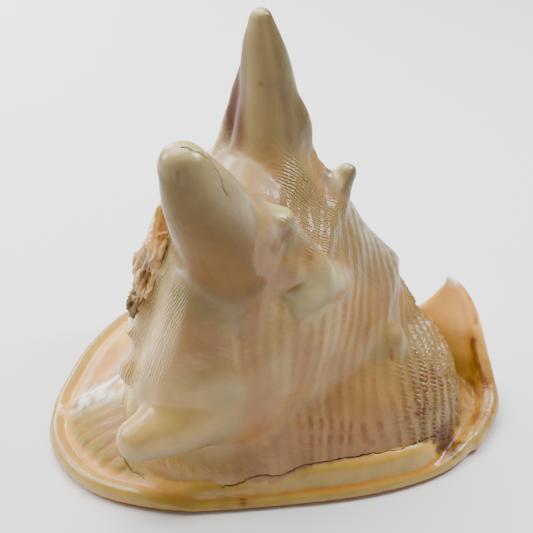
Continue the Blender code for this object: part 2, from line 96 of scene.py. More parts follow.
# ---- horns and knobs: points of the middle line, radii -----------------------------------------
BARS = {
    "top_horn": ([(0, -4, 110), (1, 0, 128), (1, 3, 143), (1, 5, 157), (0.9, 6, 171), (-0.4, 6, 182),
                  (-1.7, 6, 194), (-2.4, 6, 203)], [33, 25, 18.5, 15.4, 12.9, 11.4, 8.8, 5.6]),
    "top_horn_side": ([(29, 2, 124), (22, 3, 132), (16, 4, 144), (13.5, 4, 157), (10, 4, 170)],
                      [8, 6, 5.6, 6.4, 4.4]),
    "top_horn_fold": ([(-19, 13, 128), (-16, 17, 142), (-13, 17, 156), (-10.5, 16, 168),
                       (-7.6, 13, 181)], [9, 7, 5.8, 5, 4]),
    "front_horn": ([(0, -8, 84), (-8, -27, 102), (-15, -45, 121), (-21.2, -58, 140),
                    (-27, -67.5, 157), (-31.6, -74, 171.3)], [31, 28.5, 24.5, 19.2, 15.3, 10.7]),
    "front_horn_shoulder": ([(-14, -50, 134), (-5, -48, 133), (5.5, -46, 132)], [14, 11, 7.8]),
    "crest": ([(-22, -48, 118), (-27, -55, 110), (-30, -58, 104), (-33, -61.5, 94), (-38, -62.5, 78),
               (-44, -61, 63), (-47, -59, 54)], [7, 6.5, 6, 6, 6.5, 8, 9]),
    "low_horn": ([(2, -30, 42), (-13, -47, 49), (-28, -60, 50), (-43, -70.5, 46),
                  (-55.5, -76, 42.5)], [28, 25, 20, 14.6, 10]),
    "low_horn_rib": ([(-24, -60, 49), (-14, -61, 51), (-6.5, -60, 57), (-2, -56, 66)],
                     [15, 12.5, 10, 8]),
    "top_knob": ([(27, -1, 118), (31, 1.5, 124), (34, 3.5, 128), (36.5, 4.5, 132)],
                 [13, 9, 6.2, 4.8]),
    "front_knob": ([(26, -34, 97), (25, -41, 101), (21.5, -47, 101.5), (17.5, -51, 99.5)],
                   [12, 9, 7.4, 6.2]),
    "lower_knob": ([(46, -15, 53), (53, -22, 58), (56, -25.5, 60.5)], [15, 12, 9.5]),
    "ramp_knob": ([(-46, -38, 67), (-54, -45, 62), (-59.5, -48, 59.5)], [11, 9, 7]),
    "front_horn_web": ([(-13, -46, 114), (-11, -50.5, 100), (-9, -52.5, 84)], [17, 16.5, 15]),
    "front_keel": ([(4, -44.5, 130), (10, -44.5, 122), (16.5, -44.5, 114.5), (22, -45.5, 107),
                    (24, -46, 101)], [8, 8, 7.8, 7.6, 7]),
    "front_keel_web": ([(3, -47, 118), (9.5, -47, 111.5), (16, -46.5, 105)], [11, 10, 8.5]),
    "low_horn_web": ([(0, -48.5, 68), (-14, -57, 68.5), (-29, -63.5, 67.5), (-39.5, -67.5, 65)],
                     [17, 16.5, 14.5, 10.5]),
    "low_horn_fill": ([(0, -51.5, 58), (-15, -56.5, 60), (-30, -62, 60), (-39, -66, 57)],
                      [15.5, 16, 14, 11]),
    "back_horn": ([(-16, 44, 90), (-24, 60, 96), (-31, 71, 99), (-35, 78, 100)], [22, 15, 9, 6]),
    "back_low_horn": ([(-16, 48, 62), (-27, 64, 62), (-36, 77, 61), (-41, 85, 60)], [22, 16, 9, 6]),
    "back_knob": ([(18, 44, 80), (20, 57, 83)], [13, 7.5]),
    "back_low_knob": ([(24, 42, 50), (24, 58, 50)], [14, 8.5]),
}
# low ridges on the whorl: points (distance along the axis, angle), radius, how far it stands out
RIDGES = {
    "second_row": ([(70, 112), (70, 96), (70, 80), (70, 64), (71, 48), (73, 34)], 8.0, -6.8),
    "second_row_back": ([(70, 112), (70, 132), (70, 152), (72, 174), (74, 196)], 8.0, -6.2),
    "third_row": ([(118, 110), (118, 92), (117, 74), (116, 52), (115, 30)], 7.0, -4.6),
    "back_crest": ([(29, 100), (28, 124), (28, 150), (29, 176), (31, 200)], 8.0, -4.5),
}
# worn knobs where the older whorls meet: angle, radius from the axis, size
SPIRE_KNOBS = [(38, 57, 3.6), (22, 52, 3.2), (4, 50, 3.0), (-14, 50, 3.0), (68, 54, 3.4), (104, 50, 3.4),
               (140, 46, 3.2), (176, 43, 3.0), (214, 40, 3.0), (250, 37, 2.8), (30, 30, 3.0),
               (90, 27, 2.6), (150, 24, 2.4), (210, 21, 2.2)]

# ---- the upturned canal: rows of points of its sheet, from the foot to the tip ------------------
CANAL_ROWS = [
    [(110, -4, 2), (99, 10, 2), (87, 20, 1), (82, 31, 1), (91, 42, 1), (106, 45, 2)],
    [(110, 6, 14), (99, 14, 13), (86, 21, 12), (81, 31, 12), (88, 42, 12), (103, 44, 12)],
    [(107, 13, 27), (97, 18, 26), (86, 22, 25), (80, 31, 25), (85, 41, 24), (95, 43, 23)],
    [(104.5, 17.5, 38), (95, 20, 38.5), (86, 23, 37.5), (80, 31, 36), (82, 39, 34), (88, 42, 33)],
    [(101, 20, 50), (93, 22, 50.5), (85.5, 24.5, 47), (80, 30, 43), (80, 36, 39), (83, 39, 38)],
    [(95.5, 22.5, 59), (91, 23.5, 58.5), (86, 25.5, 53), (81.5, 29, 47.5), (80, 33, 43), (81, 36, 41)],
    [(91, 24, 64.8), (89.5, 24.5, 63), (86.5, 26, 57), (83, 28, 51.5), (81, 31, 46.5), (81, 34, 44)],
]
CANAL_THICKNESS = [9, 8.5, 7.5, 6.5, 5.5, 4.5, 3.2]
CANAL_EDGE = ([(99, -29, 5), (106, -16, 6), (110.5, -4, 8.5), (110, 6, 16), (107, 13, 27),
               (104.5, 18, 38), (102, 20, 47), (98, 22, 55.5), (93.6, 23, 61.4), (90.6, 24, 64.6)],
              [5.4, 5.6, 5.8, 5.2, 4.9, 4.5, 4.0, 3.4, 2.7, 1.9])

# ---- the openings underneath ---------------------------------------------------------------------
SLOT = [(-60, -17), (-46, -20), (-26, -23), (0, -23), (28, -20), (52, -13), (72, -4), (84, 5)]
SLOT_WIDTH = 9
SLOT_TOP = [(-60, 14), (-40, 30), (0, 36), (50, 34), (70, 20), (84, 8)]     # place in X, height
VALLEY = ([(-72, -14, -10), (-50, -19.5, -9), (-28, -23, -9), (0, -23, -9), (30, -19, -9), (58, -12, -9),
           (80, -2, -8), (98, 15, -6)], [14, 18, 19, 19, 18, 17, 15, 13])
CHAMBER = ([(-48, -12, 36), (-28, -14, 46), (0, -16, 50), (28, -14, 46), (54, -10, 34),
            (74, -4, 18)], [11, 18, 21, 19, 14, 7])
GUTTER = ([(78, 1, -1), (90, 13, -1), (98.5, 25, 2), (102, 33, 12), (99, 34, 28), (94, 34, 58)],
          [5, 5.6, 6.2, 6.4, 6, 6])
TEETH = 9
CENTRE = Vector((5.33, 5.62, 0))                              # moved to the origin at the end

# ---- the finer net -----------------------------------------------------------------------------------
BATCH = 20000                                                 # points compared at a time
GROUND_WIDTH, GROUND_DEPTH = 400, 80                          # the box that cuts the pieces level
WHORL_VOXEL, WHORL_SOFTEN, WHORL_REGAIN = 1.1, 26, 9
LIP_VOXEL, LIP_SOFTEN = 0.9, 9
SKIN_VOXEL, SKIN_TRIANGLES = 0.82, 165000
HOLLOW_VOXEL, HOLLOW_SOFTEN = 1.5, 4
CRUST_VOXEL = 0.38


# ---- smooth lines ----------------------------------------------------------------------------------
def rounded(a, b, c, d, f):
    """a smooth bend (Catmull-Rom) from b to c, with a and d beyond them"""
    return 0.5 * (2 * b + (c - a) * f + (2 * a - 5 * b + 4 * c - d) * f**2
                  + (3 * b - a - 3 * c + d) * f**3)


def open_line(points, count):
    """count + 1 points of the smooth line through the given ones"""
    given = np.array(points, float)
    padded = np.vstack([2 * given[0] - given[1], given, 2 * given[-1] - given[-2]])
    place = np.linspace(0, len(given) - 1, count + 1)
    i = np.minimum(place.astype(int), len(given) - 2)
    return rounded(padded[i], padded[i + 1], padded[i + 2], padded[i + 3], (place - i)[:, None])


def closed_line(points, count):
    """count points of the smooth closed line through the given ones"""
    given = np.array(points, float)
    size = len(given)
    place = np.arange(count) * size / count
    i = place.astype(int)
    return rounded(given[(i - 1) % size], given[i % size], given[(i + 1) % size],
                   given[(i + 2) % size], (place - i)[:, None])


def table(rows, at):
    """the value between two rows of a table"""
    return np.interp(at, [row[0] for row in rows], [row[1] for row in rows])


# ---- the whorl -------------------------------------------------------------------------------------
def on_axis(along, radius, angle):
    """a point by its distance along the coiling axis, its radius and its angle round it"""
    turn = math.radians(angle)
    return APEX + ALONG * along + (FRONT * math.cos(turn) + UP * math.sin(turn)) * radius


def spire_step(radius, angle):
    """how far a point of the spire drops below the suture of the whorl inside it"""
    angle = (angle + 60) % 360 - 60
    turns = math.log(SPIRE_RADIUS / max(radius, 1.0)) / math.log(WHORL_RATIO) - (angle - 90) / 360.0 - 0.12
    whole = math.floor(turns)
    if whole < 1 or whole > SPIRE_WHORLS:
        return 0.0
    part = turns - whole
    drop = min(1.0, part / STEP_DROP)
    easing = 1 - 0.75 * max(0.0, (part - STEP_DROP) / (1 - STEP_DROP))
    depth = STEP_DEPTH * (radius / 48.0) ** 0.8
    if whole == 1:
        depth *= min(1.0, (angle + 60) / 70)
    return -depth * drop * drop * (3 - 2 * drop) * easing


def whorl_point(along, radius, angle):
    """a point of the last whorl's surface, with its growth and its slanting shoulder"""
    wrapped = (angle + 90) % 360 - 90
    fade = min(1.0, radius / 45) * (1.0 if along < 40 else max(0.0, 1 - (along - 40) / 50))
    growth = table(GROWTH, (angle + 60) % 360 - 60)
    shift = spire_step(radius, angle) - table(SHOULDER, wrapped) * fade
    if along < 25:
        shift += table(SINK, wrapped) * table(SINK_SHARE, radius)
    return on_axis(along + shift, radius * growth, angle)


# ---- solids ----------------------------------------------------------------------------------------
def to_object(name, bm):
    """an object at the origin from a finished bmesh, its faces turned outwards"""
    bmesh.ops.recalc_face_normals(bm, faces=bm.faces)
    mesh = bpy.data.meshes.new(name)
    bm.to_mesh(mesh)
    bm.free()
    thing = bpy.data.objects.new(name, mesh)
    bpy.context.scene.collection.objects.link(thing)
    return thing


def extruded(name, rows, closed=True, caps=True):
    """a first row of points, its edges extruded from row to row"""
    bm = bmesh.new()
    row = [bm.verts.new(Vector(p) * MM) for p in rows[0]]
    pairs = zip(row, row[1:] + row[:1]) if closed else zip(row, row[1:])
    edges = [bm.edges.new(pair) for pair in pairs]
    if caps:
        bm.faces.new(row)
    for points in rows[1:]:
        grown = bmesh.ops.extrude_edge_only(bm, edges=edges)["geom"]
        fresh = {v for v in grown if isinstance(v, bmesh.types.BMVert)}
        row = [next(e.other_vert(v) for e in v.link_edges if e.other_vert(v) in fresh) for v in row]
        for vert, point in zip(row, points):
            vert.co = Vector(point) * MM
        edges = [e for e in grown if isinstance(e, bmesh.types.BMEdge)
                 and e.verts[0] in fresh and e.verts[1] in fresh]
    if caps:
        bm.faces.new(row)
    return to_object(name, bm)


def make_whorl():
    profile = open_line(PROFILE, 110)
    angles = np.arange(0, 360, 1.5)
    return extruded("whorl", [[whorl_point(s, r, a) for a in angles] for s, r in profile])


def make_foot():
    """the whorl's foot: its outline at each level, drawn in towards one middle"""
    outline = closed_line(FOOT, 160)
    middle_x, middle_y = 8, 2
    return extruded("foot", [[(middle_x + shift + (x - middle_x) * k, middle_y + (y - middle_y) * k, z)
                              for x, y in outline]
                             for z, k, shift in FOOT_LEVELS])


def front_share(x, y):
    """1 along the front of the outer lip, 0 on the flange, the canal side and the shield"""
    share = np.clip((x + 62) / 34, 0, 1) * np.clip((101 - x) / 30, 0, 1)
    return np.where(y < 0, share * share * (3 - 2 * share), 0.0)


def rim_line(count):
    """points of the rim, and at each the way along it and the way in"""
    edge = closed_line(RIM, count)
    along = np.roll(edge, -1, 0) - np.roll(edge, 1, 0)
    along /= np.linalg.norm(along, axis=1)[:, None]
    return edge, along, np.stack([-along[:, 1], along[:, 0]], 1)


def make_lip():
    """the section carried round the rim; beyond 24 mm it closes in on the middle"""
    edge, _, inward = rim_line(320)
    share = front_share(edge[:, 0], edge[:, 1])[:, None]
    middle = np.array([5.0, 5.0])
    roll = np.array([(1.0, table(ROLL, x)) for x, _ in edge])
    rows = []
    for side, front in zip(open_line(LIP_SECTION, 54), open_line(FRONT_SECTION, 54)):
        section = side * (1 - share) + front * roll * share
        depth, height = section[:, :1], section[:, 1:]
        ring = edge + inward * np.minimum(depth, 24)
        ring += (middle - ring) * np.maximum(0.0, (depth - 24) / 42)
        rows.append(np.hstack([ring, height]))
    return extruded("lip", rows)


def make_bar(name, points, radii):
    """a round bar of changing radius with domed ends"""
    line = open_line(points, 8 * (len(points) - 1))
    girth = open_line([(r,) for r in radii], 8 * (len(points) - 1))[:, 0]
    first, last = line[0] - line[1], line[-1] - line[-2]
    first, last = first / np.linalg.norm(first), last / np.linalg.norm(last)
    dome = [math.radians(a) for a in (12, 24, 36, 48, 60, 70, 78, 85)]
    start = [(line[0] + first * girth[0] * math.sin(a), girth[0] * math.cos(a)) for a in dome[::-1]]
    stop = [(line[-1] + last * girth[-1] * math.sin(a), girth[-1] * math.cos(a)) for a in dome]
    stations = start + list(zip(line, girth)) + stop
    curve = bpy.data.curves.new(name, "CURVE")
    curve.dimensions = "3D"
    curve.bevel_depth = MM
    curve.bevel_resolution = 9
    curve.use_fill_caps = True
    spline = curve.splines.new("POLY")
    spline.points.add(len(stations) - 1)
    for point, (place, radius) in zip(spline.points, stations):
        point.co = (*(Vector(place) * MM), 1)
        point.radius = radius
    thing = bpy.data.objects.new(name, curve)
    bpy.context.scene.collection.objects.link(thing)
    return thing


def make_ridge(name, stations, radius, out):
    """a bar laid along the whorl's surface"""
    profile = np.array(PROFILE)
    points = []
    for along, angle in stations:
        reach = float(np.interp(along, profile[:, 0], profile[:, 1]))
        points.append(whorl_point(along, reach + out / table(GROWTH, angle), angle))
    return make_bar(name, points, [radius] * len(points))


def make_spire_knobs():
    knobs = []
    profile = np.array(PROFILE)
    for k, (angle, radius, size) in enumerate(SPIRE_KNOBS):
        along = float(np.interp(radius, profile[:7, 1], profile[:7, 0]))
        foot = whorl_point(along, radius, angle) + ALONG * size
        tip = foot - ALONG * (size * 1.1)
        knobs.append(make_bar(f"spire_knob_{k}", [foot, tip], [size, size * 0.85]))
    return knobs


def make_canal():
    """the canal's sheet: each row of points becomes a thin closed outline"""
    fine = np.array([open_line(row, 32) for row in CANAL_ROWS])
    stack = np.array([open_line(fine[:, i], 44) for i in range(33)])
    girth = open_line([(t,) for t in CANAL_THICKNESS], 44)[:, 0]
    taper = np.sqrt(1 - 0.98 * np.linspace(-1, 1, 33) ** 12)
    rows = []
    for k in range(45):
        line = stack[:, k]
        along = np.gradient(line, axis=0)
        side = np.stack([-along[:, 1], along[:, 0], 0 * along[:, 0]], 1)
        side *= (taper * girth[k] / 2 / np.linalg.norm(side, axis=1))[:, None]
        rows.append(list(line + side) + list((line - side)[::-1]))
    return extruded("canal", rows)


def make_slot():
    """an upright sheet as thick as the slot is wide, from below the sole to the slot's top"""
    line = open_line(SLOT, 90)
    below = 12
    rows = [[(x, y, -below + share * (table(SLOT_TOP, x) + below)) for x, y in line]
            for share in np.linspace(0, 1, 9)]
    sheet = extruded("slot", rows, closed=False, caps=False)
    modify(sheet, "SOLIDIFY", thickness=SLOT_WIDTH * MM, offset=0)
    return sheet


def make_teeth():
    """short bars that cross the inner face of the outer lip"""
    line = open_line(SLOT[1:7], TEETH + 1)[1:-1]
    teeth = []
    for k, (x, y) in enumerate(line):
        inner, outer = (x, y - 3.2, 13), (x - 0.5, y - 15.5, 3.2)
        middle = (x, y - 7.5, 8.6)
        teeth.append(make_bar(f"tooth_{k}", [inner, middle, outer], [2.3, 2.5, 1.6]))
    return teeth


# ---- putting the solids together ----------------------------------------------------------------
def modify(thing, kind, **settings):
    """adds a modifier with its settings"""
    modifier = thing.modifiers.new(kind.lower(), kind)
    for key, value in settings.items():
        setattr(modifier, key, value)


def finished(thing):
    """the object's mesh with its modifiers worked in"""
    seen = thing.evaluated_get(bpy.context.evaluated_depsgraph_get())
    return bpy.data.meshes.new_from_object(seen)


def joined(name, things):
    """one object of all the things' meshes"""
    bm = bmesh.new()
    for thing in things:
        bm.from_mesh(finished(thing))
        bpy.data.objects.remove(thing)
    return to_object(name, bm)


def settled(thing):
    """replaces the object's mesh by its finished one"""
    mesh = finished(thing)
    thing.modifiers.clear()
    thing.data = mesh
    return thing


def fused(name, things, voxel, soften, regain=0):
    """one closed skin round all the things, softened where they meet"""
    whole = joined(name, things)
    modify(whole, "REMESH", mode="VOXEL", voxel_size=voxel * MM)
    modify(whole, "SMOOTH", factor=0.5, iterations=soften)
    if regain:
        modify(whole, "SMOOTH", factor=-0.5, iterations=regain)
    return settled(whole)


def cut_away(thing, other):
    """takes one solid out of another"""
    modify(thing, "BOOLEAN", operation="DIFFERENCE", solver="EXACT", object=other)
    settled(thing)
    bpy.data.objects.remove(other)


def ground_box(top):
    """a wide box below a height"""
    bm = bmesh.new()
    bmesh.ops.create_cube(bm, size=1)
    for vert in bm.verts:
        vert.co = Vector((vert.co.x * GROUND_WIDTH, vert.co.y * GROUND_WIDTH,
                          top + (vert.co.z - 0.5) * GROUND_DEPTH)) * MM
    return to_object("ground", bm)


def make_skin():
    """the whole shell as one closed skin, and the whorl and the lip by themselves"""
    bars = [make_bar(name, *given) for name, given in BARS.items()]
    ridges = [make_ridge(name, *given) for name, given in RIDGES.items()]
    whorl = fused("whorl", [make_whorl(), make_foot()] + bars + ridges + make_spire_knobs(),
                  WHORL_VOXEL, WHORL_SOFTEN, WHORL_REGAIN)
    for given in WORN_EVEN:
        soften(whorl, *given)
    cut_away(whorl, ground_box(4))
    lip = fused("lip", [make_lip(), make_canal(), make_bar("edge", *CANAL_EDGE)], LIP_VOXEL, LIP_SOFTEN)
    trees = [tree_of(whorl.data), tree_of(lip.data)]
    shell = fused("helmet_shell_skin", [whorl, lip], SKIN_VOXEL, 1)
    hollow = fused("hollow", [make_slot(), make_bar("valley", *VALLEY), make_bar("chamber", *CHAMBER),
                              make_bar("gutter", *GUTTER)], HOLLOW_VOXEL, HOLLOW_SOFTEN)
    cut_away(hollow, joined("teeth", make_teeth()))
    cut_away(shell, hollow)
    return shell, trees


# ---- relief of the skin -----------------------------------------------------------------------------
# the length over the profile at each of its points
PROFILE_LENGTHS = np.cumsum([0] + [math.dist(a, b) for a, b in zip(PROFILE, PROFILE[1:])])
CORD_DRIFT = 0.3                                            # how far the cords climb as they turn
GROWTH_STEP = 1.3                                           # millimetres of lip grown in a degree
CORD_PITCH = 5.4
FINE_PITCH = 2.9
RAMP_PITCH = 2.7
BROAD_CORDS = [(108, 6), (128, 8), (149, 7)]                 # light, slightly raised bands: place, width
UP_RAMP = (0.5, 0.866)                                      # the way up the ramp, in Y and Z
FOLD_PITCH = 9.4                                            # folds of the flange beside the low horn
FOLD_LEAN = 0.54
# where the crest between the two front horns runs: its place in X by height
CREST = [(10, -70), (40, -60), (55, -53.5), (66, -47), (81, -40), (98, -34.5), (107, -32.5), (124, -32),
         (137, -35), (145, -37.5), (152, -40)]

# places worn even: points, reach, rounds
WORN_EVEN = [
    ([(-5, -64, 31.5), (8, -60.6, 39.4), (22, -54, 46), (35, -47.7, 52.6), (48, -39.5, 57),
      (61, -33, 62.7)], 15, 90),                                        # where the whorl meets its foot
    ([(-36, -75.5, 68), (-22, -75.5, 69), (-5, -69, 68)], 20, 220),     # above the low horn
    ([(-30, -64, 110), (-18, -66, 109), (-5, -65, 108)], 16, 120),      # under the front horn
    ([(-31.6, -76, 170), (-28, -76, 163)], 15, 60),                     # the front horn's tip
    ([(-31.5, -83, 174), (-27, -82, 174)], 12, 110),
    ([(5.5, -50, 132), (20, -50, 106)], 12, 40),                        # the keel beside it
    ([(53, -30, 60), (57, -28, 58)], 13, 70),                           # the bulge
    ([(53, -27, 78), (56, -20, 81), (59, -10, 83), (61, 1, 85)], 14, 110),      # the crease above it
]
# hollows on the spire's edge and, with a depth below 0, swellings beside the front horn:
# middle, reach, depth
HOLLOWS = [((-56, 14, 98), 17, 6.2), ((-57, 26, 92), 13, 5.5), ((2, -59, 137), 13, -2.0),
           ((-2, -60, 143), 9, -1.2)]
# swelling across the flange where the light catches it
SWELLING = [(-96.4, -9.3, 9.4), (-91.4, -8.2, 12.2), (-86.6, -5.8, 14.2), (-80.8, -3.4, 16.1),
            (-76.2, 0.6, 16.9), (-73.7, 5.2, 17.3)]

# thin lines where the shell has split
CRACK_DEPTH = 0.5
CRACKS = {
    "lip_crack": [(-18.7, -70.3, 11.4), (-13.3, -69.7, 12.1), (-5.2, -68.7, 15.9), (6.1, -67.6, 15.5),
                  (19.7, -63.9, 18.9), (33.4, -60.9, 19.3), (44.9, -57.9, 19.2), (55.3, -54.6, 18.8),
                  (63.9, -51.2, 18.4), (76.4, -43.2, 17.9), (81.5, -39.5, 17)],
    "flange_crack": [(-65.9, -52.3, 13.4), (-62.6, -58.7, 11), (-56.9, -62, 10.3)],
    "horn_crack": [(-30.5, -76.5, 180.6), (-27.6, -76.8, 179.6), (-22.8, -75.1, 176.1)],
    "horn_crack_side": [(-25, -70, 179), (-22.6, -73.1, 176), (-18.5, -73.8, 169.2), (-15.9, -75.7, 161.7)],
}


# ---- what each point of the skin knows ------------------------------------------------------------
FAR = 1e9                                                   # farther than anything here


def tree_of(mesh):
    """the mesh made ready for finding the nearest point on it"""
    bm = bmesh.new()
    bm.from_mesh(mesh)
    tree = BVHTree.FromBMesh(bm)
    bm.free()
    return tree


def read(things, field):
    """three numbers for each of the things, as rows"""
    rows = np.zeros(len(things) * 3, np.float32)
    things.foreach_get(field, rows)
    return rows.reshape(-1, 3).astype(float)


def smooth(low, high, x):
    """0 at low and beyond, 1 at high and beyond, whichever of the two is the larger"""
    part = np.clip((x - low) / (high - low), 0, 1)
    return part * part * (3 - 2 * part)


def bump_at(middle, reach, x):
    """1 at the middle, 0 beyond the reach on either side"""
    return smooth(0, 1, 1 - np.abs(x - middle) / reach)


def round_patch(points, middle, reach, fill=1.0):
    """1 at the middle, 0 beyond the reach all round; a fill under 1 makes it fuller"""
    return bump_at(0, reach, np.linalg.norm(points - np.array(middle), axis=1)) ** fill


def cloud(points, size, octaves=2, seed=0):
    """soft noise, -1 to 1, of lumps of that size in millimetres"""
    shift = Vector((17.3 * seed, -9.1 * seed, 4.7 * seed))
    return np.array([noise.fractal(Vector(p) / size + shift, 1.0, 2.0, octaves) for p in points])


def coil_place(points):
    """arc length over the whorl's profile from the apex, angle and radius round the axis"""
    rel = points - np.array(APEX)
    along, front, up = rel @ np.array(ALONG), rel @ np.array(FRONT), rel @ np.array(UP)
    radius, angle = np.hypot(front, up), np.degrees(np.arctan2(up, front))
    wrapped = (angle + 90) % 360 - 90
    fade = np.minimum(1, radius / 45) * np.where(along < 40, 1, np.clip(1 - (along - 40) / 50, 0, 1))
    flat_along = along + table(SHOULDER, wrapped) * fade
    flat_radius = radius / table(GROWTH, (angle + 60) % 360 - 60)
    profile = open_line(PROFILE, 300)
    arc = np.concatenate([[0], np.cumsum(np.linalg.norm(np.diff(profile, axis=0), axis=1))])
    place = np.zeros(len(points))
    for first in range(0, len(points), BATCH):
        rows = slice(first, first + BATCH)
        far = ((flat_along[rows, None] - profile[:, 0]) ** 2
               + (flat_radius[rows, None] - profile[:, 1]) ** 2)
        place[rows] = arc[far.argmin(1)]
    return place, wrapped, radius


def rim_place(points):
    """distance along the rim and in from it, seen from above"""
    edge, along, inward = rim_line(400)
    steps = np.linalg.norm(np.roll(edge, -1, 0) - edge, axis=1)
    length = np.concatenate([[0], np.cumsum(steps)[:-1]])
    where, depth = np.zeros(len(points)), np.zeros(len(points))
    for first in range(0, len(points), BATCH):
        rows = slice(first, first + BATCH)
        near = ((points[rows, None, :2] - edge) ** 2).sum(2).argmin(1)
        off = points[rows, :2] - edge[near]
        where[rows] = length[near] + (off * along[near]).sum(1)
        depth[rows] = (off * inward[near]).sum(1)
    return where, depth


# bars that end in a worn, pale tip, and how pale
TIPS = {"top_horn": 1, "front_horn": 1, "low_horn": 0.9, "front_horn_shoulder": 0.75, "top_knob": 0.9,
        "front_knob": 0.75, "lower_knob": 0.25, "back_horn": 0.9, "back_low_horn": 0.9, "back_knob": 0.7,
        "back_low_knob": 0.7}


def horn_place(points):
    """0 at a horn's root to 1 at its tip, 0 away from the horns"""
    samples = []
    for name, pale in TIPS.items():
        line, radii = BARS[name]
        path = open_line(line, 40)
        girth = open_line([(r,) for r in radii], 40)[:, 0]
        samples += [(p, r, pale * k / 40) for k, (p, r) in enumerate(zip(path, girth))]
    near = kd_tree([s[0] for s in samples])
    share = np.zeros(len(points))
    for i, p in enumerate(points):
        _, k, far = near.find(p)
        _, girth, part = samples[k]
        share[i] = part * min(1.0, max(0.0, 2.2 - far / girth))
    return share


def kd_tree(places):
    """the places made ready for finding the nearest of them"""
    tree = kdtree.KDTree(len(places))
    for k, p in enumerate(places):
        tree.insert(p, k)
    tree.balance()
    return tree


class Places:
    """for each point its place and facing (p, n), the shell's own coordinates and what it belongs to"""

    def __init__(self, mesh, trees):
        self.p = read(mesh.vertices, "co") / MM
        self.n = read(mesh.vertex_normals, "vector")
        self.arc, self.angle, self.radius = coil_place(self.p)
        self.rim, self.depth = rim_place(self.p)
        self.horn = horn_place(self.p)
        whorl, lip = [np.array([tree.find_nearest(Vector(p) * MM)[3] for p in self.p]) / MM
                      for tree in trees]
        self.inside = smooth(1.5, 3.5, np.minimum(whorl, lip))
        self.body = smooth(-0.5, 0.5, lip - whorl) * (1 - self.inside)
        self.lip = (1 - smooth(-0.5, 0.5, lip - whorl)) * (1 - self.inside)
        girth = np.interp(self.arc, PROFILE_LENGTHS, [row[1] for row in PROFILE])
        wander = cloud(self.p, 26, 2, 1)
        drift = CORD_DRIFT * smooth(50, 95, self.arc)
        self.cord = self.arc + drift * girth * np.radians(self.angle) + 1.9 * wander
        self.growth = GROWTH_STEP * self.angle + 1.4 * wander
        x, y, z = self.p.T
        front = smooth(20, 0, y)
        # the ramp: the sloping shoulder between the crest and the spire, with brick-like relief
        past_crest = smooth(2, -3, x - table(CREST, z)) * front + (1 - smooth(78, 92, self.arc)) * (1 - front)
        self.ramp = past_crest * (1 - smooth(0.3, 0.45, self.horn - 0.32 * smooth(90, 104, z))) * self.body
        height = UP_RAMP[0] * y + UP_RAMP[1] * z - 13
        self.slope = x - 0.21 * height - 0.00485 * height ** 2 + 0.8 * wander
        # the upper whorl between the horns, where ribs and threads stay sharp
        beside_horn = 1 - (1 - smooth(3, 9, x)) * smooth(131, 138, z) * front
        below_horn = 1 - smooth(-14, -8, y) * smooth(118, 126, z)
        self.upper = (smooth(88, 100, self.arc) * smooth(40, 66, self.angle)
                      * (1 - smooth(168, 184, self.arc)) * beside_horn * below_horn)
        # crisp relief: the horns are worn smooth, least on their canal side
        canal_side = smooth(0.25, 0.6, self.n[:, 0]) * smooth(95, 120, z)
        self.crisp = 1 - smooth(0.15, 0.4, self.horn) * (1 - 0.75 * canal_side)


def stroke(places, points, width, soft=0.5, deep=5.0):
    """1 on a line drawn over the surface, falling to 0 past its width"""
    line = open_line(points, 12 * max(1, len(points) - 1)) if len(points) > 1 else np.array(points)
    best = np.full(len(places.p), FAR)
    box = np.all((places.p > line.min(0) - width * 3 - 8) & (places.p < line.max(0) + width * 3 + 8), 1)
    rows = np.flatnonzero(box)
    for q in line:
        off = places.p[rows] - q
        sunk = (off * places.n[rows]).sum(1)
        flat = np.sqrt(np.maximum((off ** 2).sum(1) - sunk ** 2, 0))
        flat[np.abs(sunk) > deep] = FAR
        best[rows] = np.minimum(best[rows], flat)
    return 1 - smooth(width * (1 - soft), width * (1 + soft), best)


def crack_place(at):
    """across-distance from the nearest crack, signed so that it stays true between points, and 1 near it"""
    across, near = np.full(len(at.p), 9.0), np.full(len(at.p), FAR)
    for points in CRACKS.values():
        line = jagged(open_line(points, 14 * (len(points) - 1)))
        box = np.all((at.p > line.min(0) - 6) & (at.p < line.max(0) + 6), 1)
        rows = np.flatnonzero(box)
        if not len(rows):
            continue
        first, step = line[:-1], np.diff(line, axis=0)
        off = at.p[rows, None] - first
        part = np.clip((off * step).sum(2) / (step ** 2).sum(1), 0, 1)
        gap = off - part[..., None] * step
        far = np.linalg.norm(gap, axis=2)
        best = far.argmin(1)
        each = np.arange(len(rows))
        side = np.cross(step[best], at.n[rows])
        side /= np.linalg.norm(side, axis=1)[:, None]
        signed = (gap[each, best] * side).sum(1)
        closer = far[each, best] < near[rows]
        near[rows[closer]] = far[each, best][closer]
        across[rows[closer]] = signed[closer]
    return across, 1 - smooth(1.4, 2.6, near)


def jagged(line):
    """a line that wanders from side to side as a crack does"""
    sway = np.array([noise.noise_vector(Vector(p) / 3.1) + 0.5 * noise.noise_vector(Vector(p) / 1.2)
                     for p in line])
    return line + sway * 0.75


def flank_of(at):
    """the canal end of the whorl, where cords and growth lines make a strong net"""
    return smooth(177, 197, at.arc) * (1 - smooth(230, 240, at.arc))


def fold_place(at):
    """where the flange is folded, and the place across its folds"""
    folds = (at.lip * smooth(4, 14, at.rim) * smooth(90, 72, at.rim) * smooth(8, 14, at.depth)
             * (1 - smooth(40, 48, at.depth)) * (1 - smooth(-66, -61, at.p[:, 0]) * (at.p[:, 1] < -30)))
    across = (at.p[:, 1] - FOLD_LEAN * at.p[:, 0]) / FOLD_PITCH
    return folds, across + 0.16 * cloud(at.p, 24, 1, 3)


def ridges_of(at):
    """where the ramp has its ridges"""
    return at.ramp * smooth(42, 50, at.radius) * (1 - smooth(0.35, 0.5, at.horn))


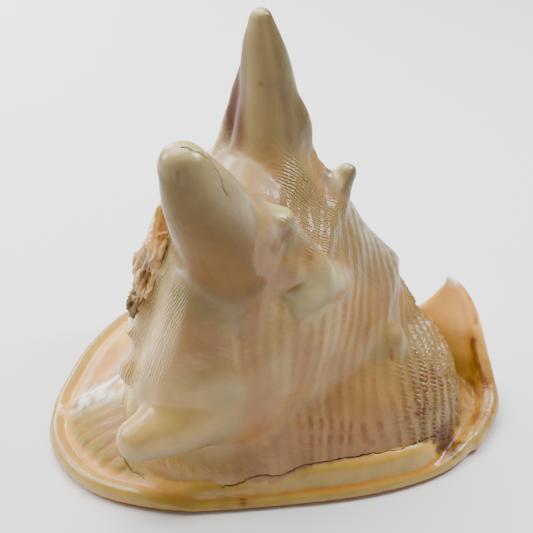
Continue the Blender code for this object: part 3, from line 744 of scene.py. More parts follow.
def relief(at):
    """how far each point stands out, in millimetres"""
    flank, ramp, z = flank_of(at), ridges_of(at), at.p[:, 2]
    ripple = cloud(at.p, 8, 2, 8)
    cord_turn = 2 * math.pi * (at.cord / CORD_PITCH + 0.14 * flank * ripple)
    cords = (0.5 + 0.5 * np.cos(cord_turn)) ** 1.5 - 0.4
    fine = np.cos(2 * math.pi * (at.growth / FINE_PITCH + 0.12 * np.cos(cord_turn) + 0.3 * flank * ripple))
    strength = at.body * at.crisp * smooth(84, 100, at.arc)
    out = strength * cords * (0.26 + 0.7 * flank)
    out += strength * fine * (0.06 + 0.6 * flank * (0.5 + cords))
    for place, width in BROAD_CORDS:
        out += 0.35 * strength * bump_at(place, width, at.cord) * (1 - smooth(35, 60, at.angle))
    out += ramp * 0.05 * np.cos(2 * math.pi * (at.slope / RAMP_PITCH + 0.3 * ripple))
    out += ramp * 0.35 * ripple
    out += at.body * 0.5 * cloud(at.p, 17, 3, 2) * (0.4 + 0.6 * at.crisp)
    for middle, reach, deep in HOLLOWS:
        out -= deep * round_patch(at.p, middle, reach)
    folds, turn = fold_place(at)
    out += folds * 1.3 * (np.abs(np.cos(math.pi * turn)) ** 0.8 - 0.6) * (0.8 + 0.4 * ripple)
    out += 1.8 * at.lip * stroke(at, SWELLING, 4.5, 0.9, 6)
    out += at.lip * 0.22 * cloud(at.p, 21, 2, 4) * smooth(2, 5, z)
    layers = np.cos(2 * math.pi * (at.depth * 0.8 + z * 0.6))
    out += at.lip * 0.07 * layers * (1 - smooth(5, 8, at.depth)) * smooth(1, 3, z)
    return out * smooth(0.6, 2.0, z)


def push_out(mesh, places, out):
    """moves each point outwards"""
    moved = (places.p + places.n * out[:, None]) * MM
    mesh.vertices.foreach_set("co", moved.astype(np.float32).ravel())
    mesh.update()


def soften(thing, points, reach, rounds):
    """evens out the skin near a line where two solids met"""
    near = kd_tree(open_line(points, 60))
    thing.vertex_groups.clear()
    group = thing.vertex_groups.new(name="soft")
    for vert in thing.data.vertices:
        far = near.find(vert.co / MM)[2]
        if far < reach:
            group.add([vert.index], 1 - far / reach, "REPLACE")
    modify(thing, "SMOOTH", factor=0.5, iterations=rounds, vertex_group="soft")
    settled(thing)


def refine(mesh, lines, reach, cuts):
    """smaller faces close to the lines, so that narrow marks stay sharp"""
    places = np.concatenate([open_line(points, 10 * len(points)) if len(points) > 1 else points
                             for points in lines])
    near = kd_tree(places)
    bm = bmesh.new()
    bm.from_mesh(mesh)
    faces = [f for f in bm.faces if near.find(f.calc_center_median() / MM)[2] < reach]
    edges = list({e for f in faces for e in f.edges})
    bmesh.ops.subdivide_edges(bm, edges=edges, cuts=cuts, use_grid_fill=True)
    bmesh.ops.triangulate(bm, faces=[f for f in bm.faces if len(f.verts) > 3])
    bm.to_mesh(mesh)
    bm.free()


# ---- the dried crust on the spire's edge ----------------------------------------------------------------
# plates of dried skin and broken lime, their outlines from the root at the edge to the ragged side
PLATES = {
    "tooth": [(-59, -29, 108.5), (-56.5, -30, 110), (-54, -30.5, 113), (-52, -30.5, 114.5), (-50, -33, 114),
              (-50.5, -36, 108), (-52, -38, 104.5), (-54.5, -40, 99.5), (-56.5, -40.5, 96.5), (-58, -38, 98),
              (-58, -35.5, 101), (-58.5, -32.5, 105)],
    "fold": [(-53, -33.5, 113.5), (-50.5, -34, 115.5), (-48.5, -35, 113.5), (-48.5, -36.5, 110.5),
             (-49.5, -39, 106.5), (-52, -41, 104), (-54.5, -42, 100.5), (-55.5, -40, 101.5),
             (-53.5, -38, 106), (-54.5, -35, 109.5)],
    "wedge": [(-55, -40, 106), (-53.5, -40.5, 107.5), (-50, -41.5, 106.5), (-49.5, -42.5, 104.5),
              (-51.5, -43, 103.5), (-53.5, -43.5, 102), (-54, -42, 104.5)],
    "strip": [(-54.5, -41, 101.5), (-52, -41, 102.5), (-51.5, -42, 100), (-52.5, -44, 96.5),
              (-54.5, -45.5, 93), (-56.5, -45, 88), (-58, -44.5, 84), (-60, -43.5, 85),
              (-58, -45, 91.5), (-57, -43, 95), (-56.5, -42, 98.5)],
    "side": [(-56.5, -38.5, 99), (-55, -40.5, 98), (-56.5, -42, 94.5), (-58.5, -42.5, 91.5), (-60, -42, 86.5),
             (-62, -41, 87), (-60.5, -40.5, 91.5), (-59, -39, 95)],
    "tail": [(-60.5, -43, 95), (-58.5, -43.5, 96), (-56.5, -45, 95.5), (-55.5, -47, 93), (-57.5, -46, 88),
             (-59, -45, 85.5), (-61, -44.5, 89.5), (-60, -45, 92.5)],
}
# the thin orange edge of an older lip, and the strip of it that runs down beside the crust
FLAKE = [(-45.5, -25.5, 131), (-47.5, -26, 129.5), (-48.3, -27.5, 126.5), (-49.4, -29.5, 121.5),
         (-50.2, -32, 118), (-51, -34, 116), (-51.5, -35, 113.5), (-50.5, -36, 111.5), (-49, -37, 109.5),
         (-47, -36.5, 111), (-45, -34.5, 114.5), (-43.5, -33, 117), (-42.5, -30.5, 120), (-42, -29.5, 123),
         (-43.5, -27.5, 127.5)]
STRIP = [(-42.6, -31.6, 120.5), (-43, -34.8, 115.3), (-44.7, -38.1, 110.3), (-46.9, -40.8, 105.8),
         (-48.7, -42.9, 101), (-51.2, -45.7, 95.2), (-52.6, -45.7, 95.2), (-51.8, -43.5, 101),
         (-50.4, -41, 106.6), (-49.5, -38, 111), (-48.2, -34.8, 115.3), (-47, -32, 120)]
PLATE_OUT = Vector((-0.35, -0.8, 0.48))                         # the way the plates face


def crumple(place):
    """0 in the gaps between the crust's long folds, 1 on their crests"""
    across = place.x - 0.45 * (place.z - 100) + 1.6 * noise.noise(place / 6)
    return abs(math.sin(math.pi * across / 2.6)) ** 0.7


def make_plate(name, outline, thick, sway, fold):
    """a thin plate of that outline, uneven and folded as it dried"""
    bm = bmesh.new()
    bm.faces.new([bm.verts.new(Vector(p) * MM) for p in outline])
    bmesh.ops.triangulate(bm, faces=bm.faces[:])
    for _ in range(3):
        bmesh.ops.subdivide_edges(bm, edges=bm.edges[:], cuts=1, use_grid_fill=True)
        bmesh.ops.triangulate(bm, faces=bm.faces[:])
    for vert in bm.verts:
        place = vert.co / MM
        rise = sway * noise.noise(place / 5) + fold * (crumple(place) - 0.5)
        ragged = 0.8 if vert.is_boundary else 0.0
        vert.co = (place + PLATE_OUT * rise + noise.noise_vector(place / 1.6) * ragged
                   - PLATE_OUT * thick / 2) * MM
    grown = bmesh.ops.extrude_face_region(bm, geom=bm.faces[:])["geom"]
    for vert in [g for g in grown if isinstance(g, bmesh.types.BMVert)]:
        vert.co += PLATE_OUT * thick * MM
    return to_object(name, bm)


def dried(name, plates, rounds):
    """plates grown into one closed piece"""
    piece = joined(name, plates)
    modify(piece, "REMESH", mode="VOXEL", voxel_size=CRUST_VOXEL * MM)
    modify(piece, "SMOOTH", factor=0.5, iterations=rounds)
    return settled(piece)


def make_crust():
    """ragged plates that overlap along the spire's edge"""
    plates = [make_plate(name, outline, 1.0, 1.2, 2.2) for name, outline in PLATES.items()]
    return dried("spire_crust", plates, 2)


def make_flake():
    """the thin orange edge of an older lip that shows beside the front horn"""
    plates = [make_plate("edge", FLAKE, 1.8, 0.5, 0.3), make_plate("strip", STRIP, 1.4, 1.2, 0.8)]
    return dried("spire_flake", plates, 5)


# ---- colours ------------------------------------------------------------------------------------------
def linear(code):
    """an sRGB hex value as linear light"""
    parts = [int(code[k:k + 2], 16) / 255 for k in (1, 3, 5)]
    return np.array([c / 12.92 if c <= 0.04045 else ((c + 0.055) / 1.055) ** 2.4 for c in parts])


TINTS = {
    # the whorl; the pink is also laid as painted shade in the gap under the low horn,
    # and the last, a dark brown, is painted shade under the front horn
    "whorl": "#A1783F", "ramp": "#CFB074", "upper": "#917742", "flank": "#84692B", "pink": "#915A33",
    "light_cord": "#B69C60", "bulge": "#84703A", "under_horn_shade": "#7D582E",
    # horns and knobs; the pale top tint is a painted highlight, the two dark side tints and the olive are
    # painted shade, and the knob and low-horn tints are partly painted light where they lie on upward faces
    "cream": "#927F56", "horn_top_highlight": "#DCC97C", "horn_shade": "#5A4726", "horn_left_shade": "#582E10",
    "underside_shade": "#6A5328", "worn_knob_and_highlight": "#C4B274", "low_horn": "#CDA04C",
    # lip, flange, shield and canal; the white, and the pale where it lies on the flange, are painted
    # highlight, while the pale elsewhere is the lime's own colour
    "lip": "#D7A33F", "lip_right": "#A07226", "bead": "#AE8A38", "flange": "#8B7026", "peach": "#C4833C",
    "pale": "#EFE6D8", "painted_glint": "#FFFAF0", "fold_low": "#A87230", "wing_low": "#C58A3A", "wing": "#FFBE62",
    "shield": "#CF9556", "inner": "#B87440",
    # stains and cracks
    "orange": "#BF7A1C", "rust": "#743600", "brown": "#552C00", "crack": "#2E2017",
    # crust and flake; the dark crust tint is partly painted shade, in the gaps between the crust's folds
    "crust_dark": "#623F1B", "crust_light": "#E0B67C", "crust_olive": "#7A5E30", "flake": "#A96F2C",
    "flake_light": "#D2A04A",
}
# small marks: points, width, tint, strength
MARKS = [
    ([(-33.4, -84, 174), (-33.2, -84.2, 169.5)], 0.8, "brown", 0.35),
    ([(-31.4, -79.7, 149.5)], 0.8, "rust", 0.7),
    ([(-31.3, -77.9, 145)], 0.7, "rust", 0.7),
    ([(-25, -72.5, 128)], 0.8, "rust", 0.35),
    ([(-2.4, -5.3, 178.6)], 1.0, "rust", 0.45),
    ([(10.7, -6.2, 159.2)], 0.9, "rust", 0.45),
    ([(-1.8, -62.6, 31), (1.4, -62.6, 31.4)], 1.1, "orange", 0.9),
    ([(57.2, -35.2, 60.5), (57.3, -34.6, 56.4)], 1.3, "rust", 1.0),
    ([(58.5, -36, 55), (59, -37, 52)], 1.6, "orange", 0.4),
    ([(64.5, -46.1, 31.8)], 1.5, "rust", 0.9),
    ([(69, -43.5, 31.6), (72.5, -41.5, 31.2)], 1.6, "rust", 1.0),
    ([(76.6, -38.5, 30.9)], 1.3, "rust", 0.8),
    ([(80.9, -34.4, 29.3)], 1.1, "rust", 0.6),
    ([(48, -55, 24)], 1.7, "rust", 0.6),
    ([(90.3, -13.5, 34), (91.3, -12.2, 30), (91.8, -11.6, 27.5)], 0.8, "brown", 0.9),
    ([(93.2, -8, 28), (94, -7, 25.5)], 1.5, "brown", 0.85),
    ([(96.5, -3.5, 27)], 1.4, "rust", 0.7),
    ([(-11.9, -72.6, 7)], 2.6, "orange", 1.0),
    ([(-10.5, -73, 4.6)], 1.8, "rust", 0.8),
    ([(103.2, 13.5, 37), (103.6, 10.7, 30.5), (105, 8, 26.2), (106.4, 5.8, 23)], 3.4, "orange", 0.55),
    ([(103.4, 12.8, 35), (103.8, 10.5, 30.5), (105, 8, 26.2), (106.4, 5.8, 23)], 1.7, "brown", 0.8),
    ([(107.6, 3.8, 21), (108.7, 1.4, 18.5), (109.4, -1.5, 15.9)], 1.5, "rust", 0.95),
    ([(96.5, 21, 62), (99.6, 20.4, 58.5), (101.6, 19.3, 54.2), (103.6, 17.4, 49.2), (104.6, 15.6, 44)],
     1.5, "orange", 0.9),
    ([(104.5, -11, 10.5), (103, -17, 10), (100.5, -22, 9.5)], 1.6, "rust", 0.6),
]
# brown dots in rows on the canal side: place, width
DOTS = [(74.9, -28.7, 45.3, 1.0), (78.1, -26, 43.4, 1.375), (86.9, -17, 36.5, 1.25), (71.6, -33.7, 44.3, 1.0),
        (74.7, -31.6, 42.8, 1.25), (77.9, -29.3, 41.2, 1.375), (70.4, -37, 41.6, 1.0),
        (74.5, -34.9, 39.5, 1.0), (78, -33, 37.5, 1.25), (68.4, -41.3, 37.9, 0.875),
        (75, -37.8, 34.2, 1.0), (82.2, -27.4, 36.3, 0.875), (84, -23.5, 38.6, 1.0), (66, -44.2, 36, 0.75)]
# rows of rusty dashes on the cords: points, width, strength
DASH_ROWS = [
    ([(19.5, -58, 38), (28.6, -56.8, 36), (37.7, -55.5, 33.8), (47, -53.6, 31.2), (55, -50.6, 31.2)],
     2.3, 0.8),
    ([(20.5, -60.5, 29.9), (30.9, -58.8, 28.5), (40.1, -57, 27.1), (51.8, -53.5, 26.6)], 2.3, 0.7),
]
# how orange the groove between roll and bead is, by place in X
ORANGE = [(-107, 0.1), (-98, 0.6), (-86, 1.0), (-66, 1.0), (-48, 0.6), (-28, 0.5), (-20, 0.65), (-8, 0.6),
          (4, 0.4), (22, 0.7), (32, 0.95), (48, 0.9), (58, 0.45), (68, 0.8), (96, 0.9), (106, 0.7)]


ANY_WAY = (-3, -2)                                                 # all faces look higher than this
# round tints on the whorl: tint, middle, reach, fill, strength, and how far up its faces look where it
# starts and where it is full; laid by facing, some of them are painted shade and painted highlight
ROUND_TINTS = [
    # painted shade: dark brown on the downward faces under the front horn
    ("under_horn_shade", (-14, -67, 120), 38, 0.5, 0.8, 0.35, -0.05),          # under the front horn
    # pale worn colour of the keel and the front knob, laid most on their upward faces: partly their wear,
    # partly a painted highlight
    ("worn_knob_and_highlight", (21, -48, 100), 19, 0.5, 0.85, -0.3, 0.4),            # the keel and the front knob
    ("bulge", (56, -28, 60), 22, 0.5, 0.8, *ANY_WAY),
    # the low horn's yellow, full on faces that look up and absent on those that look down: its own colour,
    # with its top lighter than its underside as painted light
    ("low_horn", (-44, -72, 46), 42, 0.5, 0.7, -0.5, 0.2),
    ("pink", (0, -69, 46), 24, 1.0, 0.6, *ANY_WAY),                # right of the low horn
]
LONG_UPWARDS = [1, 1, 0.4]                                         # draws noise out in height


def mix(base, tint, share):
    """lays a tint over the colours, by its share at each point"""
    base += (linear(TINTS[tint]) - base) * np.clip(share, 0, 1)[:, None]


def shaded_horn_underside(at):
    """1 on the lower face of the front horn: darkened there as painted shade, and kept dull"""
    below = smooth(0.35, -0.3, at.n[:, 2]) * smooth(-0.1, -0.5, at.n[:, 1])
    return (at.body * (1 - at.ramp) * below * smooth(0.22, 0.38, at.horn) * smooth(98, 108, at.p[:, 2])
            * smooth(-36, -44, at.p[:, 1]))


def tall_horn(at):
    """1 on the top horn"""
    return at.body * smooth(0.25, 0.4, at.horn) * smooth(-30, -18, at.p[:, 1]) * smooth(108, 120, at.p[:, 2])


def paint_whorl(at, tone, patches):
    """cream and brown bands, pink growth stages and light cords"""
    lumps = cloud(at.p, 34, 3, 5)
    mix(tone, "ramp", at.ramp * 0.85)
    mix(tone, "upper", at.body * (1 - at.ramp) * at.upper * 0.85)
    mix(tone, "flank", at.body * (1 - at.ramp) * flank_of(at) * 0.85)
    mix(tone, "pink", at.body * (1 - at.ramp) * smooth(-0.1, 0.5, lumps) * (1 - 0.6 * at.upper) * 0.4)
    for place, width in BROAD_CORDS:
        mix(tone, "light_cord", at.body * bump_at(place, width * 1.2, at.cord) * (0.45 + 0.4 * patches)
            * (1 - smooth(35, 60, at.angle)))


def paint_horns(at, tone):
    """pale worn horns, a painted highlight on their upward faces, painted shade on their undersides and on
    the top horn's sides, and the tints round the horns' roots
    """
    x, y, z = at.p.T
    facing_x, facing_up = at.n[:, 0], at.n[:, 2]
    raised = 0.16 * smooth(95, 75, z) * smooth(-20, -6, x)
    behind = smooth(10, 32, y) * smooth(140, 112, z)
    mix(tone, "cream", at.body * smooth(0.15, 0.45 + 0.5 * behind, at.horn - raised) * (0.9 - 0.7 * behind))
    # painted highlight: the outer parts of the horns are paler on their faces that look up
    mix(tone, "horn_top_highlight", at.body * smooth(0.3, 0.8, at.horn) * smooth(0.4, 0.9, facing_up) * 0.5)
    # painted shade: the front horn's lower faces are darkened
    mix(tone, "underside_shade", shaded_horn_underside(at))
    # painted shade: the top horn's faces turned to the right are darkened
    mix(tone, "horn_shade", tall_horn(at) * smooth(0.2, 0.6, facing_x) * 0.7)
    # painted shade: the top horn's faces turned to the left, in its fold, are darkened
    mix(tone, "horn_left_shade", tall_horn(at) * smooth(-0.3, -0.6, facing_x) * smooth(0.5, 0, at.n[:, 1])
        * smooth(-7, -12, x))
    for tint, middle, reach, fill, strength, start, full in ROUND_TINTS:
        patch = round_patch(at.p, middle, reach, fill)
        mix(tone, tint, at.body * patch * smooth(start, full, facing_up) * strength)
    mix(tone, "pink", at.body * smooth(46, 26, z) * smooth(-30, -10, x) * smooth(78, 60, x) * 0.45)
    # painted shade: the low horn's downward faces are darkened
    mix(tone, "underside_shade", at.body * smooth(0.3, 0.6, at.horn) * smooth(0.1, -0.5, facing_up) * smooth(72, 62, z)
        * smooth(-45, -58, y) * 0.45)


def paint_lip(at, tone, patches, specks):
    """the rolled lip and its bead, the flange's folds with a painted highlight on its swelling, painted shade
    under the low horn, the shield and the canal
    """
    x, y, z = at.p.T
    mix(tone, "lip", at.lip)
    mix(tone, "flange", at.lip * smooth(9, 13, at.depth) * smooth(-40, -62, x) * smooth(-1, -13, y))
    mix(tone, "bead", at.lip * smooth(8, 4, at.depth))
    wing = at.lip * smooth(16, 34, z) * smooth(60, 75, x)
    mix(tone, "wing_low", wing * smooth(46, 34, z))
    mix(tone, "wing", wing * smooth(32, 46, z))
    mix(tone, "pale", wing * smooth(59, 66, z) * 0.8)
    # painted shade: pink-brown in the hollow under the low horn, where the wall meets the flange
    foot = at.lip + at.body * smooth(34, 26, z)
    mix(tone, "pink", foot * round_patch(at.p, (-66, -36, 21), 17, 0.5) * 0.6)
    flange = at.lip * smooth(10, 15, at.depth) * smooth(-46, -58, x) * smooth(-13, -1, y)
    mix(tone, "peach", flange * smooth(46, 34, y) * smooth(-0.5, 0.2, patches + 0.3))
    # painted highlight: a pale band across the back of the flange, where it swells and catches the light
    mix(tone, "pale", flange * smooth(17, 11, at.depth) * 0.65)
    # painted highlight: white streaky glints along the swelling across the flange
    streaks = cloud(np.stack([0.87 * x - 0.5 * y, 0.2 * (0.5 * x + 0.87 * y), z], 1), 2.4, 2, 9)
    mix(tone, "painted_glint", at.lip * stroke(at, SWELLING, 7.5, 0.8, 6) * smooth(-0.3, 0.4, streaks)
        * smooth(-98, -93, x))
    folds, turn = fold_place(at)
    mix(tone, "fold_low", folds * (1 - np.abs(np.cos(math.pi * turn))) ** 1.5 * 0.7)
    mix(tone, "shield", smooth(0.2, 0.6, -at.n[:, 2]) * smooth(14, 9, z) * 0.9)
    mix(tone, "inner", at.inside * 0.8)
    share = front_share(x, y)
    groove = np.hypot(at.depth - (GROOVE_SIDE[0] * (1 - share) + GROOVE_FRONT[0] * share),
                      z - (GROOVE_SIDE[1] * (1 - share) + GROOVE_FRONT[1] * share))
    mix(tone, "orange", at.lip * smooth(2.5, 0.6, groove + 0.8 * patches) * table(ORANGE, x)
        * smooth(40, 20, y))
    mix(tone, "lip_right", at.lip * smooth(82, 92, x) * smooth(-34, -22, y) * smooth(32, 20, z) * 0.85)
    speckled = at.lip * round_patch(at.p, (102, -6, 11), 24, 0.5)
    mix(tone, "rust", speckled * smooth(0.05, 0.5, specks + 0.4 * patches) * 0.75)


def paint_marks(at, tone, patches, specks):
    """small stains, the dots on the canal side and the brown patch at the lip's end"""
    for points, width, tint, strength in MARKS:
        mix(tone, tint, stroke(at, points, width, 0.6) * strength * (0.85 + 0.4 * specks))
    for *place, width in DOTS:
        mix(tone, "rust", at.body * stroke(at, [place], width, 0.7))
    low_down = np.maximum(at.lip, at.body * smooth(21, 17.5, at.p[:, 2]))
    patch = round_patch(at.p, (85, -38, 13), 14)
    mix(tone, "rust", low_down * smooth(0.0, 0.5, patch + 0.3 * patches) * (patch > 0) * 0.7)
    mix(tone, "brown", low_down * smooth(0.25, 0.75, patch + 0.6 * specks) * (patch > 0))


def paint_skin(at):
    """the shell's broad colours, its stains, and some painted highlight and shade"""
    tone = np.tile(linear(TINTS["whorl"]), (len(at.p), 1))
    patches, specks = cloud(at.p, 12, 3, 6), cloud(at.p, 4, 2, 7)
    paint_whorl(at, tone, patches)
    paint_horns(at, tone)
    paint_lip(at, tone, patches, specks)
    paint_marks(at, tone, patches, specks)
    return tone


def paint_crust(mesh):
    """brown dried skin with paler broken edges, darker in the gaps between its folds as painted shade"""
    p = read(mesh.vertices, "co") / MM
    tone = np.tile(linear(TINTS["crust_light"]), (len(p), 1))
    mix(tone, "pale", smooth(0.0, 0.5, cloud(p * LONG_UPWARDS, 2.6, 2, 21)) * 0.35)
    mix(tone, "crust_olive", smooth(99, 93, p[:, 2] + 3 * cloud(p, 4, 1, 25)))
    mix(tone, "crust_olive", round_patch(p, (-52, -42, 105), 6, 0.5))
    # painted shade: darker in the gaps between the crust's long folds
    gaps = np.array([1 - crumple(Vector(place)) for place in p])
    mix(tone, "crust_dark", smooth(0.4, 0.9, gaps) * 0.7)
    mix(tone, "crust_dark", smooth(0.2, 0.7, cloud(p, 5, 2, 22)) * 0.4)
    return tone


def paint_flake(mesh):
    """orange lime, lighter along its edge, with crust at its lower end"""
    p = read(mesh.vertices, "co") / MM
    tone = np.tile(linear(TINTS["flake"]), (len(p), 1))
    mix(tone, "flake_light", smooth(-46.2, -48.6, p[:, 0] + 0.25 * (121 - p[:, 2])))
    mix(tone, "crust_light", smooth(117, 112, p[:, 2]) * 0.7)
    mix(tone, "crust_dark", smooth(0.1, 0.6, cloud(p * LONG_UPWARDS, 4, 2, 23)) * 0.5
        * smooth(118, 112, p[:, 2]))
    return tone


def gloss_of(at):
    """how polished each point is, from 0 dull to 1 glazed"""
    flank, swelling = flank_of(at), stroke(at, SWELLING, 9, 0.8, 6)
    gloss = np.clip(0.35 + 0.4 * at.lip + 0.5 * at.upper * at.crisp + 0.4 * at.ramp + 0.25 * flank
                    + 0.3 * at.body * smooth(0.3, 0.6, at.horn) * smooth(0.1, 0.5, at.n[:, 2]), 0, 1)
    gloss -= 0.2 * at.lip * (1 - swelling) + 0.15 * flank
    gloss *= 1 - shaded_horn_underside(at)
    gloss *= 1 - 0.7 * tall_horn(at) * smooth(-0.2, -0.5, at.n[:, 0])
    gloss *= 1 - 0.8 * at.lip * smooth(8, 11, at.depth) * smooth(-50, -60, at.p[:, 0]) * (1 - swelling)
    return gloss


def keep(mesh, name, *columns):
    """an attribute of three numbers, or of a colour, for each point"""
    values = np.column_stack(columns)
    colour = len(columns) == 1
    if colour:
        values = np.column_stack([values, np.ones(len(values))])
    attribute = mesh.attributes.new(name, "FLOAT_COLOR" if colour else "FLOAT_VECTOR", "POINT")
    attribute.data.foreach_set("color" if colour else "vector", values.astype(np.float32).ravel())


# ---- materials ---------------------------------------------------------------------------------------
WAVE_TURN = math.pi / 10                    # a wave of this scale repeats once in a unit
# the sizes of soft lumps, in millimetres; the grain is drawn coarser than it is, so that it shows
MOTTLE, DENTS, GRAIN, CRACK_LUMPS, CRUST_MOTTLE = 10.526, 3.846, 1.111, 4.167, 2.381


def add(tree, kind, links=(), **settings):
    """one node with its settings, its inputs linked or set; gives its outputs"""
    node = tree.nodes.new(kind)
    for key, value in settings.items():
        setattr(node, key, value)
    for place, source in dict(links).items():
        if isinstance(source, bpy.types.NodeSocket):
            tree.links.new(source, node.inputs[place])
        else:
            node.inputs[place].default_value = source
    return node.outputs


def new_material(name, **constants):
    """a material, its tree and its shader's inputs, with those that don't change set"""
    material = bpy.data.materials.new(name)
    material.use_nodes = True
    inputs = material.node_tree.nodes["Principled BSDF"].inputs
    for key, value in constants.items():
        inputs[key.replace("_", " ")].default_value = value
    return material, material.node_tree, inputs


def shell_material():
    """sea shell lime, polished by the animal and worn by the sea: creamy, glossy, slightly see-through"""
    material, tree, shader = new_material(
        "sea_shell_lime", IOR=1.53, Subsurface_Weight=0.1, Subsurface_Radius=(1.0, 0.6, 0.35),
        Subsurface_Scale=3 * MM, Coat_Weight=0.15, Coat_Roughness=0.12)
    place = add(tree, "ShaderNodeTexCoord")["Object"]
    tone = add(tree, "ShaderNodeAttribute", attribute_name="tone")["Color"]
    course, *shares = [add(tree, "ShaderNodeAttribute", attribute_name=name)["Vector"]
                       for name in ("course", "wear", "print", "split")]
    ((rib_share, thread_share, gloss), (stripe_share, dash_share, dot_share),
     (across, by_crack, ridge_share)) = [add(tree, "ShaderNodeSeparateXYZ", {0: share}) for share in shares]
    # ridges across the cords (X), the growth lines (Y) or the ramp (Z): pitch in millimetres, warp, phase
    stripes, ribs, threads, rows, ridges = [
        add(tree, "ShaderNodeTexWave", {"Vector": course, "Scale": WAVE_TURN / pitch, "Distortion": warp,
                                        "Detail": 2, "Detail Scale": 1.2, "Phase Offset": phase},
            bands_direction=direction)["Fac"]
        for direction, pitch, warp, phase in (("X", CORD_PITCH, 1.2, -math.pi / 2), ("Y", 1.25, 2.6, 0),
                                              ("X", 1.9, 2.0, 0), ("Y", 3.3, 1.2, 0), ("Z", 1.3, 4.5, 0))]
    # noise drawn out along the cords and along the growth lines, in lumps to the millimetre
    gaps, streaks = [
        add(tree, "ShaderNodeTexNoise",
            {"Vector": add(tree, "ShaderNodeMapping", {"Vector": course, "Scale": scale})[0],
             "Scale": 1, "Detail": detail})[0]
        for scale, detail in (((0.10, 0.5, 0), 3), ((0.55, 0.03, 0), 2))]
    mottle, grain, dents, crack_lumps = [
        add(tree, "ShaderNodeTexNoise", {"Vector": place, "Scale": 1 / (size * MM), "Detail": detail})[0]
        for size, detail in ((MOTTLE, 4), (GRAIN, 2), (DENTS, 1), (CRACK_LUMPS, 1))]

    def stain(tone, tint, share, patterns):
        """a tint where its share is and all its patterns are high: pattern, low, high, values there"""
        for pattern, low, high, first, last in patterns:
            part = add(tree, "ShaderNodeMapRange", {0: pattern, 1: low, 2: high, 3: first, 4: last})[0]
            share = add(tree, "ShaderNodeMath", {0: part, 1: share}, operation="MULTIPLY")[0]
        return add(tree, "ShaderNodeMix", {0: share, 6: tone, 7: (*linear(TINTS[tint]), 1)},
                   data_type="RGBA")[2]

    # pink stripes lie between the cords; dashes and dots sit where stripes meet growth rows
    tone = stain(tone, "pink", stripe_share, [(stripes, 0.35, 0.95, 0, 1), (gaps, 0.35, 0.62, 0.15, 1)])
    tone = stain(tone, "pink", stripe_share, [(streaks, 0.5, 0.7, 0, 0.6)])
    tone = stain(tone, "rust", dash_share, [(stripes, 0.5, 0.8, 0, 0.55)])
    tone = stain(tone, "rust", dot_share, [(stripes, 0.7, 0.95, 0, 1), (rows, 0.6, 0.9, 0, 1)])
    shade = add(tree, "ShaderNodeMapRange", {0: mottle, 1: 0.3, 2: 0.7, 3: 0.88, 4: 1.1})[0]
    tone = add(tree, "ShaderNodeHueSaturation", {"Color": tone, "Value": shade})[0]
    # cracks: a dark hairline, wider and narrower along its length
    gap = add(tree, "ShaderNodeMath", {0: across}, operation="ABSOLUTE")[0]
    wider = add(tree, "ShaderNodeMapRange", {0: crack_lumps, 1: 0.3, 2: 0.7, 3: 0.0, 4: 0.16})[0]
    gap = add(tree, "ShaderNodeMath", {0: gap, 1: wider}, operation="SUBTRACT")[0]
    tone = stain(tone, "crack", by_crack, [(gap, 0.04, 0.2, 1, 0)])
    tree.links.new(tone, shader["Base Color"])
    # worn faces are rough and hardly mirror; polished ones are smooth and do
    for socket, full, dull, polished in (("Roughness", 1, 0.6, 0.16), ("Specular IOR Level", 0.5, 0.12, 0.5)):
        level = add(tree, "ShaderNodeMapRange", {0: gloss, 1: 0, 2: full, 3: dull, 4: polished})[0]
        tree.links.new(level, shader[socket])
    normal = None
    for pattern, share, height in ((ribs, rib_share, 0.5), (threads, thread_share, 0.4),
                                   (ridges, ridge_share, 0.45), (grain, 1, 0.05), (dents, 1, 0.25)):
        pattern = add(tree, "ShaderNodeMath", {0: pattern, 1: share}, operation="MULTIPLY")[0]
        inputs = {"Strength": 1, "Distance": height * MM, "Height": pattern}
        if normal:
            inputs["Normal"] = normal
        normal = add(tree, "ShaderNodeBump", inputs)[0]
    tree.links.new(normal, shader["Normal"])
    return material


def crust_material():
    """dried outer skin over broken lime: brown, papery and dull, paler where it has flaked"""
    material, tree, shader = new_material("dried_shell_skin", Roughness=0.5)
    place = add(tree, "ShaderNodeTexCoord")["Object"]
    tone = add(tree, "ShaderNodeAttribute", attribute_name="tone")["Color"]
    mottle = add(tree, "ShaderNodeTexNoise", {"Vector": place, "Scale": 1 / (CRUST_MOTTLE * MM),
                                              "Detail": 3})[0]
    shade = add(tree, "ShaderNodeMapRange", {0: mottle, 1: 0.3, 2: 0.7, 3: 0.75, 4: 1.2})[0]
    tree.links.new(add(tree, "ShaderNodeHueSaturation", {"Color": tone, "Value": shade})[0],
                   shader["Base Color"])
    tree.links.new(add(tree, "ShaderNodeBump", {"Strength": 1, "Distance": 0.3 * MM, "Height": mottle})[0],
                   shader["Normal"])
    return material


def floor_material():
    """matt painted board: a plain pale ground"""
    return new_material("matt_paint", Base_Color=(*linear("#ECECEC"), 1), Roughness=0.9,
                        Specular_IOR_Level=0.1)[0]


# ---- the scene -------------------------------------------------------------------------------------------
VIEW_TARGET, VIEW_DISTANCE = (0, 0, 85), 560
VIEW_HEIGHT = math.radians(30)
VIEW_LENS, SENSOR_WIDTH = 80.375, 36
# soft round lamps above, right, left and behind: place, width across and target in metres, power, colour
LAMPS = {
    "key": ((-0.25, 0.3, 1.2), 1.3, (0, 0, 0.08), 36, (0.98, 0.99, 1)),
    "right": ((0.7, 0.2, 0.85), 0.27, (0, 0, 0.08), 10.5, (0.93, 0.97, 1)),
    "left": ((-0.95, 0.15, 0.6), 0.45, (0, 0, 0.08), 8, (1, 0.98, 0.94)),
    "back": ((-0.5, 0.85, 0.5), 0.4, (-0.38, 0.6, 0), 8, (1, 1, 1)),
}


